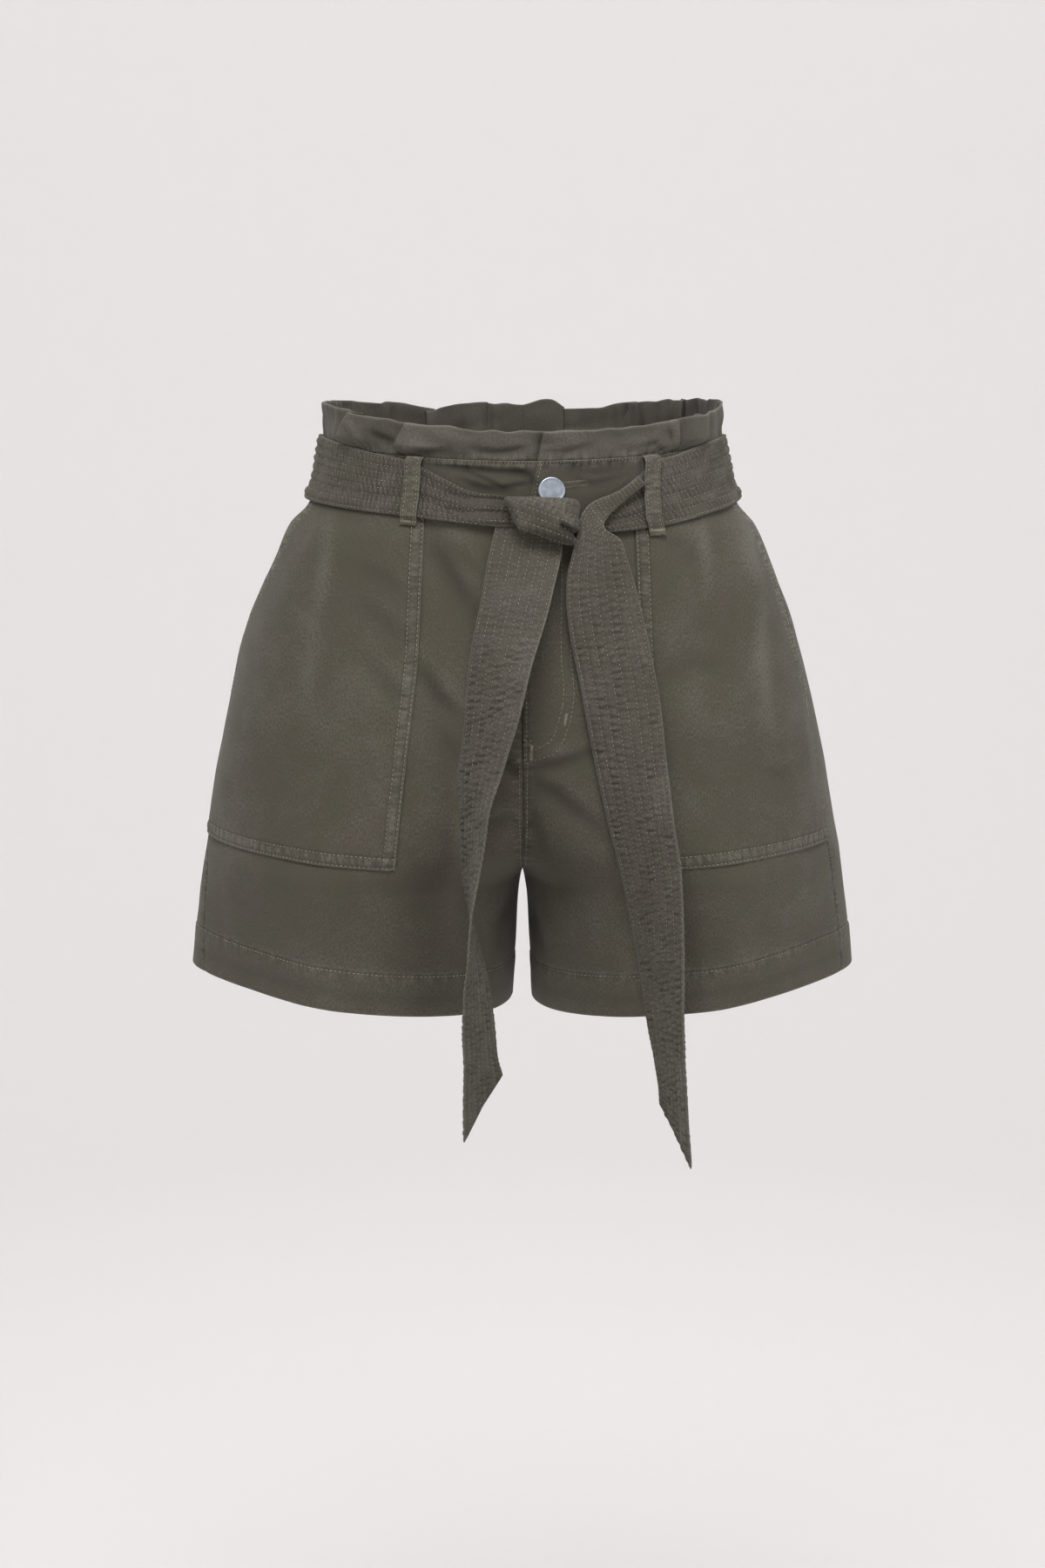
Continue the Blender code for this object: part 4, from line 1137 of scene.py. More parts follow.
@dataclass(frozen=True)
class TwillFinish:
    """Olive cotton twill, dyed and washed as a garment, with painted highlight on its crests and painted
    shade in its troughs.
    """

    name: str
    ground: tuple[float, float, float] = (0.0735, 0.0680, 0.0485)
    warm: tuple[float, float, float] = (0.0805, 0.0700, 0.0525)
    # The paler colour serves real wear and painted highlight; the deep colour serves painted shade and dark
    # flecks.
    worn: tuple[float, float, float] = (0.185, 0.178, 0.150)
    deep: tuple[float, float, float] = (0.030, 0.027, 0.021)
    rib: float = 0.62 * MM
    weave_depth: float = 0.07 * MM
    pile_depth: float = 0.06 * MM
    pucker_depth: float = 0.34 * MM
    sheen: float = 0.10

    def make(self, weave: Group, wash_and_shade: Group, puckers: Group) -> Material:
        """Builds the material.

        Args:
            weave: the twill group.
            wash_and_shade: the group for the garment wash, the painted highlight and the painted shade.
            puckers: the group that puckers the cloth beside seams.

        Returns:
            The material.
        """
        material, graph, shader = start_material(self.name)
        flat = graph.node("ShaderNodeUVMap", {"uv_map": "cloth"}).outputs["UV"]
        spot = graph.node("ShaderNodeTexCoord").outputs["Object"]
        wear, tone, gather = (
            graph.node("ShaderNodeAttribute", {"attribute_name": name}).outputs["Fac"]
            for name in ("wear", "tone", "gather")
        )
        woven = graph.node("ShaderNodeGroup", {"node_tree": weave}, Place=flat, Rib=self.rib)
        puckered = graph.node("ShaderNodeGroup", {"node_tree": puckers}, Place=flat, Gather=gather)
        puckered = puckered.outputs["Height"]
        # Painted highlight on the puckers' crests and painted shade in their troughs.
        crest = graph.math("MULTIPLY", graph.math("MAXIMUM", puckered, 0.0), 0.40)
        trough = graph.math("MULTIPLY", graph.math("MINIMUM", puckered, 0.0), 0.50)
        colours = {name: (*getattr(self, name.lower()), 1.0) for name in ("Ground", "Warm", "Worn", "Deep")}
        washed_and_shaded = graph.node(
            "ShaderNodeGroup", {"node_tree": wash_and_shade}, Place=spot, Fleck=woven.outputs["Fleck"],
            Wear=graph.math("ADD", wear, crest), Tone=graph.math("ADD", tone, trough), **colours,
        )
        graph.feed(shader.inputs["Base Color"], washed_and_shaded.outputs["Color"])
        graph.feed(shader.inputs["Roughness"], washed_and_shaded.outputs["Roughness"])
        normal = graph.bump(graph.noise(spot, 900.0, 3.0), 0.5, self.pile_depth)
        normal = graph.bump(woven.outputs["Height"], 0.7, self.weave_depth, Normal=normal)
        graph.feed(shader.inputs["Normal"], graph.bump(puckered, 1.0, self.pucker_depth, Normal=normal))
        shader.inputs["Sheen Weight"].default_value = self.sheen
        shader.inputs["Sheen Roughness"].default_value = 0.5
        shader.inputs["Specular IOR Level"].default_value = 0.25
        return material


@dataclass(frozen=True)
class ThreadFinish:
    """Matt polyester thread."""

    name: str
    colour: tuple[float, float, float] = (0.240, 0.222, 0.162)
    roughness: float = 0.62

    def make(self) -> Material:
        """Builds the material, a little lighter and darker from stitch to stitch."""
        material, graph, shader = start_material(self.name)
        spot = graph.node("ShaderNodeTexCoord").outputs["Object"]
        dark, light = ((*(share * c for c in self.colour), 1.0) for share in (0.62, 1.25))
        share = graph.span(graph.noise(spot, 260.0, 2.0), 0.35, 0.65)
        graph.feed(shader.inputs["Base Color"], graph.blend(share, dark, light))
        twist = graph.node("ShaderNodeTexWave", {"bands_direction": "DIAGONAL"}, Vector=spot, Scale=1400.0)
        graph.feed(shader.inputs["Normal"], graph.bump(twist.outputs["Fac"], 0.4, 0.04 * MM))
        shader.inputs["Roughness"].default_value = self.roughness
        return material


@dataclass(frozen=True)
class MetalFinish:
    """Satin nickel-coloured metal with a fine brushed grain."""

    name: str
    colour: tuple[float, float, float] = (0.45, 0.51, 0.585)
    roughness: float = 0.34

    def make(self) -> Material:
        """Builds the material."""
        material, graph, shader = start_material(self.name)
        spot = graph.node("ShaderNodeTexCoord").outputs["Object"]
        drawn = graph.mapped(spot, Rotation=(0, 0.35, 0), Scale=(7000.0, 500.0, 500.0))
        grain, smear = graph.noise(drawn, 1.0, 3.0), graph.noise(spot, 240.0, 3.0)
        dull = (*(0.78 * c for c in self.colour), 1.0)
        colour = graph.blend(graph.span(grain, 0.3, 0.7), dull, (*self.colour, 1.0))
        graph.feed(shader.inputs["Base Color"], colour)
        rough = graph.span(smear, 0.3, 0.7, self.roughness - 0.06, self.roughness + 0.1)
        graph.feed(shader.inputs["Roughness"], rough)
        graph.feed(shader.inputs["Normal"], graph.bump(grain, 0.35, 0.02 * MM))
        shader.inputs["Metallic"].default_value = 1.0
        return material


class Finishes:
    """Every material of the shorts, each built once."""

    def __init__(self) -> None:
        """Builds the shared groups and the materials."""
        groups = make_weave(), make_wash_and_shade(), make_puckers()
        self.twill = TwillFinish("olive_twill_cloth").make(*groups)
        # The frill gets a paler, greyer copy of the twill: painted light on the upturned frill.
        self.frill = TwillFinish(
            "frill_twill", ground=(0.090, 0.083, 0.068), warm=(0.094, 0.081, 0.069)
        ).make(*groups)
        self.belt = TwillFinish(
            "belt_twill", ground=(0.0775, 0.0710, 0.0525), warm=(0.079, 0.068, 0.056),
            worn=(0.200, 0.192, 0.163), pile_depth=0.08 * MM,
        ).make(*groups)
        self.thread = ThreadFinish("olive_thread").make()
        self.bar_thread = ThreadFinish("bartack_thread", colour=(0.235, 0.215, 0.155)).make()
        self.hole_thread = ThreadFinish("buttonhole_thread", colour=(0.135, 0.124, 0.090)).make()
        self.metal = MetalFinish("satin_metal").make()


# ---- sewing


def make_stitch_tree() -> Group:
    """Geometry Nodes that lay stitches of thread along rows, on the face they are sewn to."""
    tree = bpy.data.node_groups.new("stitch_rows", "GeometryNodeTree")
    sockets = (
        ("Rows", "Geometry", None), ("Pitch", "Float", 2.9 * MM), ("Stitch", "Float", 2.1 * MM),
        ("Thread", "Float", 0.42 * MM), ("Turn", "Float", 0.0), ("Slip", "Float", 0.08), ("Seed", "Int", 1),
        ("Finish", "Material", None),
    )
    for label, kind, value in sockets:
        socket = tree.interface.new_socket(label, in_out="INPUT", socket_type=f"NodeSocket{kind}")
        if value is not None:
            socket.default_value = value
    tree.interface.new_socket("Stitches", in_out="OUTPUT", socket_type="NodeSocketGeometry")
    graph = Graph(tree)
    given = tree.nodes.new("NodeGroupInput").outputs
    result = tree.nodes.new("NodeGroupOutput")

    rows = graph.node("GeometryNodeMeshToCurve", Mesh=given["Rows"]).outputs[0]
    spots = graph.node("GeometryNodeCurveToPoints", {"mode": "LENGTH"}, Curve=rows, Length=given["Pitch"])
    spots = spots.outputs
    facing = graph.node("GeometryNodeInputNamedAttribute", {"data_type": "FLOAT_VECTOR"}, Name="facing")
    along = graph.node("FunctionNodeAlignRotationToVector", {"axis": "X"}, Vector=spots["Tangent"])
    upright = graph.node(
        "FunctionNodeAlignRotationToVector", {"axis": "Z", "pivot_axis": "X"},
        Rotation=along.outputs[0], Vector=facing.outputs["Attribute"],
    )
    lean = graph.node("FunctionNodeRandomValue", {"data_type": "FLOAT"}, Seed=given["Seed"])
    graph.feed(lean.inputs[2], graph.math("MULTIPLY", given["Slip"], -1.0))
    graph.feed(lean.inputs[3], given["Slip"])
    angles = graph.node("ShaderNodeCombineXYZ", Z=graph.math("ADD", given["Turn"], lean.outputs[1]))
    swing = graph.node("FunctionNodeEulerToRotation", Euler=angles.outputs[0]).outputs[0]
    turned = graph.node(
        "FunctionNodeRotateRotation", {"rotation_space": "LOCAL"},
        Rotation=upright.outputs[0], Rotate_By=swing,
    )
    bead = graph.node("GeometryNodeMeshUVSphere", Segments=6, Rings=3, Radius=0.5).outputs["Mesh"]
    sizes = graph.node("ShaderNodeCombineXYZ", X=given["Thread"], Y=given["Thread"], Z=given["Stitch"])
    stood = graph.node("GeometryNodeTransform", Geometry=bead, Scale=sizes.outputs[0]).outputs[0]
    laid = graph.node("GeometryNodeTransform", Geometry=stood, Rotation=(0.0, math.pi / 2, 0.0)).outputs[0]
    size = graph.node("FunctionNodeRandomValue", {"data_type": "FLOAT"}, Seed=given["Seed"])
    graph.feed(size.inputs[2], 0.86)
    graph.feed(size.inputs[3], 1.08)
    placed = graph.node(
        "GeometryNodeInstanceOnPoints", Points=spots["Points"], Instance=laid, Rotation=turned.outputs[0],
        Scale=size.outputs[1],
    )
    smoothed = graph.node("GeometryNodeSetShadeSmooth", Geometry=placed.outputs[0])
    real = graph.node("GeometryNodeRealizeInstances", Geometry=smoothed.outputs[0])
    dressed = graph.node("GeometryNodeSetMaterial", Geometry=real.outputs[0], Material=given["Finish"])
    graph.feed(result.inputs[0], dressed.outputs[0])
    return tree


@dataclass
class Seamstress:
    """Sews rows of stitches on a piece."""

    tree: Group
    finish: Material
    pitch: float = 2.8 * MM
    stitch: float = 2.0 * MM
    thread: float = 0.62 * MM
    turn: float = 0.0
    slip: float = 0.08

    def sew(self, name: str, rows: Sequence[Row], seed: int = 1) -> bpy.types.Object:
        """Makes the stitches as one plain mesh.

        Args:
            name: the piece's name.
            rows: where the stitches run.
            seed: picks how they lean.

        Returns:
            The object, at the origin.
        """
        points = np.concatenate([row.points for row in rows])
        facing = np.concatenate([row.facing for row in rows])
        edges, start = [], 0
        for row in rows:
            first = np.arange(start, start + len(row.points) - 1)
            edges.append(np.stack([first, first + 1], axis=-1))
            start += len(row.points)
        mesh = bpy.data.meshes.new(f"{name}_rows")
        mesh.from_pydata(points.tolist(), np.concatenate(edges).tolist(), [])
        store = mesh.attributes.new("facing", "FLOAT_VECTOR", "POINT")
        store.data.foreach_set("vector", facing.astype(np.float32).ravel())
        guide = bpy.data.objects.new(f"{name}_rows", mesh)
        bpy.context.scene.collection.objects.link(guide)
        modifier = guide.modifiers.new("stitches", "NODES")
        modifier.node_group = self.tree
        values = {
            "Pitch": self.pitch, "Stitch": self.stitch, "Thread": self.thread, "Turn": self.turn,
            "Slip": self.slip, "Seed": seed, "Finish": self.finish,
        }
        for item in self.tree.interface.items_tree:
            if item.in_out == "INPUT" and item.name in values:
                modifier[item.identifier] = values[item.name]
        graph = bpy.context.evaluated_depsgraph_get()
        sewn = bpy.data.meshes.new_from_object(guide.evaluated_get(graph))
        bpy.data.objects.remove(guide)
        bpy.data.meshes.remove(mesh)
        sewn.name = name
        piece = bpy.data.objects.new(name, sewn)
        bpy.context.scene.collection.objects.link(piece)
        return piece


# ---- the workshop


class Hold(Enum):
    """How a sheet of cloth is held."""

    HUNG = "hung"
    STRETCHED = "stretched"
    GATHERED = "gathered"
    FOLDED = "folded"


@dataclass(frozen=True)
class Cut:
    """The flat size that a piece of cloth is cut to, and how it is held."""

    width: float
    length: float
    hold: Hold
    area: float | None = None


class Workshop:
    """Holds the materials and the stitch tree, and attaches each piece to the body."""

    def __init__(self) -> None:
        """Builds what every piece uses."""
        self.finishes = Finishes()
        self.stitches = make_stitch_tree()

    def seamstress(self, **sizes: float) -> Seamstress:
        """Someone who sews with the plain thread."""
        return Seamstress(self.stitches, self.finishes.thread, **sizes)

    def quilter(self) -> Seamstress:
        """Someone who sews the belt's close rows."""
        return self.seamstress(thread=0.54 * MM, stitch=1.6 * MM, pitch=2.6 * MM)

    def bar_tacker(self, finish: Material | None = None, **sizes: float) -> Seamstress:
        """Someone who sews dense bars of crosswise stitches."""
        values = {"pitch": 0.42 * MM, "stitch": 2.4 * MM, "thread": 0.44 * MM, "turn": math.pi / 2} | sizes
        return Seamstress(self.stitches, finish or self.finishes.bar_thread, **values)

    def hand_over(
        self, piece: bpy.types.Object, node: str, material: Material,
        sewing: Sequence[bpy.types.Object] = (),
    ) -> None:
        """Dresses a piece, attaches it and its stitches to the body, and hides the CAD node that it
        replaces.

        Args:
            piece: the piece.
            node: the CAD node that it replaces.
            material: its finish.
            sewing: its stitches.
        """
        piece.data.materials.append(material)
        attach(piece, BODY)
        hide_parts(node)
        for rows in sewing:
            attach(rows, BODY)
        log.info("%s: %s", piece.name, describe([piece, *sewing]))


def describe(things: Sequence[bpy.types.Object]) -> str:
    """How many triangles some pieces have, and half the first one's surface."""
    triangles = sum(len(face.vertices) - 2 for thing in things for face in thing.data.polygons)
    cloth = sum(face.area for face in things[0].data.polygons) / 2
    return f"{triangles} triangles, {cloth:.4f} square metres of cloth"


# ---- relief in the cloth


def furrow(distance: Array, at: float, width: float = 0.65 * MM, depth: float = 0.3 * MM) -> Array:
    """The groove that a row of stitches pulls into the cloth."""
    return -depth * hump(distance, at, width)


def ladder(
    along: Array, across: Array, centre: float, reach: float, pitch: float, height: float, seed: int
) -> Array:
    """Short puckers side by side along a seam.

    Args:
        along: distances along the seam.
        across: distances from it.
        centre: where across the puckers are highest.
        reach: their half length.
        pitch: the distance between two of them.
        height: how high they stand.
        seed: picks how they wander.

    Returns:
        The relief.
    """
    slip = 1.7 * wander(along, 3 * pitch, seed)
    strength = 0.65 + 0.45 * wander(along, 2 * pitch, seed + 1)
    waves = np.sin(2 * math.pi * along / pitch + slip + 0.4 * (across - centre) / reach)
    return height * strength * waves * hump(across, centre, reach)


@dataclass
class Laid:
    """Cloth laid on the form: points, the form's normals, and distances from the four edges."""

    points: Array
    normal: Array
    first: Array
    last: Array
    top: Array
    bottom: Array
    push: Array | float = 0.0

    @classmethod
    def out(cls, points: Array, normal: Array) -> Laid:
        """Measures a grid of points."""
        along, down = lengths(points, 1), lengths(points, 0)
        return cls(points, normal, along, along[:, -1:] - along, down, down[-1:] - down)

    def crease_looks(self) -> tuple[Array, Array]:
        """How worn the creases' crests are, and how dark their troughs."""
        return 0.30 * np.clip(self.push / (1.6 * MM), 0, 1), 0.55 * np.clip(self.push / (2.0 * MM), -1, 0)

    def wall(
        self, lift: Array | float, thick: Array | float, relief: Array, wear: Array, tone: Array,
        rims: Array, gather: Array | float,
    ) -> Wall:
        """Gives the cloth its thickness.

        Args:
            lift: how far its inner face stands off the form, negative for inside it.
            thick: its thickness.
            relief: folds, furrows and puckers of its outer face.
            wear: how pale it is, from 0 to 1: real wear, with painted highlight on crests.
            tone: negative as painted shade in deep troughs and stitch furrows, and where the cloth is darker
                along seams.
            rims: distances from the nearest rounded edge.
            gather: how strongly fine puckers gather it, below 0 where the seam runs down.

        Returns:
            The wall.
        """
        shape = self.points.shape[:2]
        draw = rounding(np.broadcast_to(rims, shape), np.broadcast_to(thick, shape))[..., None]
        low, high = (np.broadcast_to(rise, shape)[..., None] for rise in (lift, lift + thick + relief))
        looks = (np.broadcast_to(values, shape).astype(float) for values in (wear, tone, gather))
        outer, inner = self.points + self.normal * (high - draw), self.points + self.normal * (low + draw)
        return Wall(outer, inner, *looks)


# ---- the legs


FLY_CURVE = (
    (0.0296, -0.0190), (0.0290, -0.0600), (0.0289, -0.1034), (0.0305, -0.1243), (0.0269, -0.1428),
    (0.0208, -0.1560), (0.0052, -0.1631),
)
FLY_INNER_CURVE = (
    (0.0236, -0.0190), (0.0232, -0.0600), (0.0231, -0.1034), (0.0244, -0.1225), (0.0216, -0.1380),
    (0.0168, -0.1500), (0.0052, -0.1568),
)
FLY_BOX = ((0.0012, -0.1500), (0.0047, -0.1503), (0.0049, -0.1618), (0.0012, -0.1622), (0.0012, -0.1500))
FLY_BARS = ((0.0262, -0.1340), (0.0249, -0.1408)), ((0.0056, -0.1535), (0.0050, -0.1620))
BUTTONHOLE = (
    ((0.0215, 0.0012), (0.0375, 0.0026)), ((0.0215, -0.0018), (0.0375, -0.0004)),
    ((0.0384, 0.0022), (0.0384, -0.0006)),
)


@dataclass
class LegPanel:
    """One of the four panels of the legs, from the waist to the hem."""

    side: Side
    face: Face
    cut: Cut
    row_gap: float = 2.6 * MM
    fine_gap: float = 0.8 * MM
    half_round: float = 300.0 * MM
    column_gap: float = 3.4 * MM
    seam_reach: float = 10.0 * MM
    crotch_bend: float = -235.0 * MM
    stitch_row: float = 26.8 * MM

    @property
    def name(self) -> str:
        """The panel's node name."""
        return f"{self.face.name.lower()}_{self.side.label}"

    def levels(self) -> Array:
        """Nominal heights of the rows, close together at the crotch, the hem's stitches and its edge."""
        low, high = -0.2442, -0.2430
        for _ in range(40):
            middle = (low + high) / 2
            below = FORM.sections.read("inner", middle) > 0.02 * MM
            low, high = (middle, high) if below else (low, middle)
        top = WAIST_SEAM - 0.05 * MM
        upper = top - spaced(top + 0.2185, lambda at: self.row_gap)
        bend = -0.2185 - spaced(-0.2185 - self.crotch_bend, lambda at: 1.3 * MM)
        under = high + np.linspace(math.sqrt(self.crotch_bend - high), 0, 14) ** 2
        start = high - np.array([0.1, 0.35, 0.8, 1.5, 2.6]) * MM
        stitched = HEM + HEM_DEPTH + 3.9 * MM
        leg = start[-1] - spaced(start[-1] - stitched, lambda at: self.row_gap)
        seam = np.arange(stitched - 0.7 * MM, stitched - 4.6 * MM, -0.7 * MM)
        flat = seam[-1] - spaced(seam[-1] - HEM - 3 * MM, lambda at: 2.3 * MM)
        edge = HEM + 1.1 * MM * np.array([1.7, 0.85, 0.4, 0.12, 0.0])
        return np.concatenate([upper, bend[1:], under[1:], start, leg[1:], seam, flat[1:], edge])

    def lay(self) -> tuple[Laid, Array]:
        """Lays the panel on the form."""
        z, side = self.levels(), self.side.value
        near, far = FORM.inner_turn(side, z, self.face), FORM.seam_turn(side, z)
        gap = near_ends(self.half_round, self.column_gap, self.fine_gap, self.seam_reach)
        turn = mix(near[:, None], far[:, None], spaced(self.half_round, gap) / self.half_round)
        points, normal, push = FORM.creased(side, turn, z[:, None])
        along = lengths(points, 1)
        calm = 1 - ease(0.0, 4 * MM, along) * ease(0.0, 4 * MM, along[:, -1:] - along)
        laid = Laid.out(points - normal * (push * calm)[..., None], normal)
        laid.push = push * (1 - calm)
        return laid, z[:, None]

    def relief(self, laid: Laid, z: Array) -> Array:
        """Furrows, puckers and the slack of the cloth."""
        x, height, first, hem = laid.points[..., 0], laid.points[..., 2], laid.first, laid.bottom
        seed = 10 + self.side.value + 4 * self.face.value
        total = furrow(first, 0.0, 0.9 * MM, 0.45 * MM) + furrow(laid.last, 0.0, 0.9 * MM, 0.4 * MM)
        total = total + furrow(hem, self.stitch_row, 0.8 * MM, 0.32 * MM)
        total += ladder(first, hem, self.stitch_row - 3 * MM, 7 * MM, 10.5 * MM, 0.28 * MM, seed)
        slack = mottle(x, height, 26 * MM, seed) * 0.35 * MM
        slack = slack + mottle(x, height, 11 * MM, seed + 50) * 0.10 * MM
        total += slack * ease(0, 12 * MM, first) * ease(0, 10 * MM, laid.last)
        if self.face is Face.BACK:
            high = ease(-0.250, -0.240, z)
            total += ladder(-height, first, 3 * MM, 5 * MM, 6.4 * MM, 0.26 * MM, 5) * high
            if self.side is Side.LEFT:
                total += (furrow(first, 1.7 * MM) + furrow(first, 7.2 * MM)) * high
            return total
        below = ease(-0.166, -0.172, z) * ease(-0.246, -0.236, z)
        total += ladder(-height, first, 3 * MM, 5 * MM, 6.4 * MM, 0.32 * MM, 3) * below
        if self.side is Side.RIGHT:
            return total + furrow(first, 1.8 * MM) * below
        for curve in (FLY_CURVE, FLY_INNER_CURVE):
            total += furrow(nearest(curve, x, height).apart, 0.0, 0.9 * MM, 0.35 * MM)
        return total + furrow(first, 2.6 * MM) * ease(-0.166, -0.162, z) + furrow(first, 3.1 * MM) * below

    def make(self, shop: Workshop) -> None:
        """Builds the panel and its sewing.

        Args:
            shop: the workshop.
        """
        laid, z = self.lay()
        first, last, bottom = laid.first, laid.last, laid.bottom
        thick = mix(CLOTH, HEM_CLOTH, ease(HEM + HEM_DEPTH + HEM_STEP, HEM + HEM_DEPTH, z))
        seam = hump(last, 0, 1.4 * MM) + hump(first, 0, 1.2 * MM)
        # The creases' crests turn paler, partly worn and partly painted highlight; their troughs get painted
        # shade.
        crest, trough = laid.crease_looks()
        wear = 0.5 * (1 - ease(0.0, 1.6 * MM, bottom)) + 0.12 * seam + crest
        wear = wear + 0.16 * hump(bottom, self.stitch_row + 1.6 * MM, 1.0 * MM)
        # Painted shade in the hem's stitch furrow, in the creases' troughs and beside the inside-leg seam
        # below the crotch; darker along the seams and in a band 12 mm above the hem's edge.
        tone = -0.35 * hump(bottom, self.stitch_row, 0.8 * MM) - 0.4 * seam + trough
        tone = tone - 0.55 * np.exp(-first / (9 * MM)) * ease(-0.225, -0.250, z)
        tone = tone - 0.22 * hump(bottom, 12 * MM, 3.5 * MM)
        gather = 0.55 * hump(bottom, self.stitch_row - 1.5 * MM, 3.6 * MM)
        gather = gather - 0.8 * hump(first, 3 * MM, 3.5 * MM) * ease(-0.250, -0.240, z)
        gather = gather - 0.8 * hump(last, 0, 5 * MM)
        wall = laid.wall(-thick, thick, self.relief(laid, z), wear, tone, bottom, gather)
        wall.join(0, self.side, np.abs(laid.points[:, 0, 0]) < 0.03 * MM)
        piece = wall.build(f"{self.name}_cloth")
        resting = [f"waistband_{self.side.label}_cloth"]
        sewing = self.sew(shop, wall, z)
        shop.hand_over(piece, self.name, shop.finishes.twill, sewing)

    def sew(self, shop: Workshop, wall: Wall, z: Array) -> list[bpy.types.Object]:
        """Sews the hem, the crotch and the fly."""
        rows = [wall.across(self.stitch_row)]
        fly_end, crotch = (int(np.argmin(np.abs(z[:, 0] - level))) for level in (-0.1660, -0.2400))
        if self.face is Face.BACK:
            if self.side is Side.LEFT:
                rows += [wall.beside(d, rows=slice(0, crotch)) for d in (1.7 * MM, 7.2 * MM)]
            return [shop.seamstress().sew(f"{self.name}_stitches", rows, 3)]
        if self.side is Side.RIGHT:
            rows.append(wall.beside(1.8 * MM, rows=slice(fly_end, crotch)))
            return [shop.seamstress().sew(f"{self.name}_stitches", rows, 4)]
        rows.append(wall.beside(3.1 * MM, rows=slice(fly_end, crotch)))
        rows.append(wall.beside(2.6 * MM, rows=slice(0, fly_end - 1)))
        rows += [wall.drawn(FLY_CURVE), wall.drawn(FLY_INNER_CURVE)]
        rows += [wall.drawn(pair, 0.5 * MM) for pair in zip(FLY_BOX, FLY_BOX[1:])]
        bars = [wall.drawn(bar, 0.3 * MM) for bar in FLY_BARS]
        return [
            shop.seamstress(thread=0.45 * MM).sew(f"{self.name}_stitches", rows, 5),
            shop.bar_tacker().sew(f"{self.name}_bartacks", bars, 6),
        ]


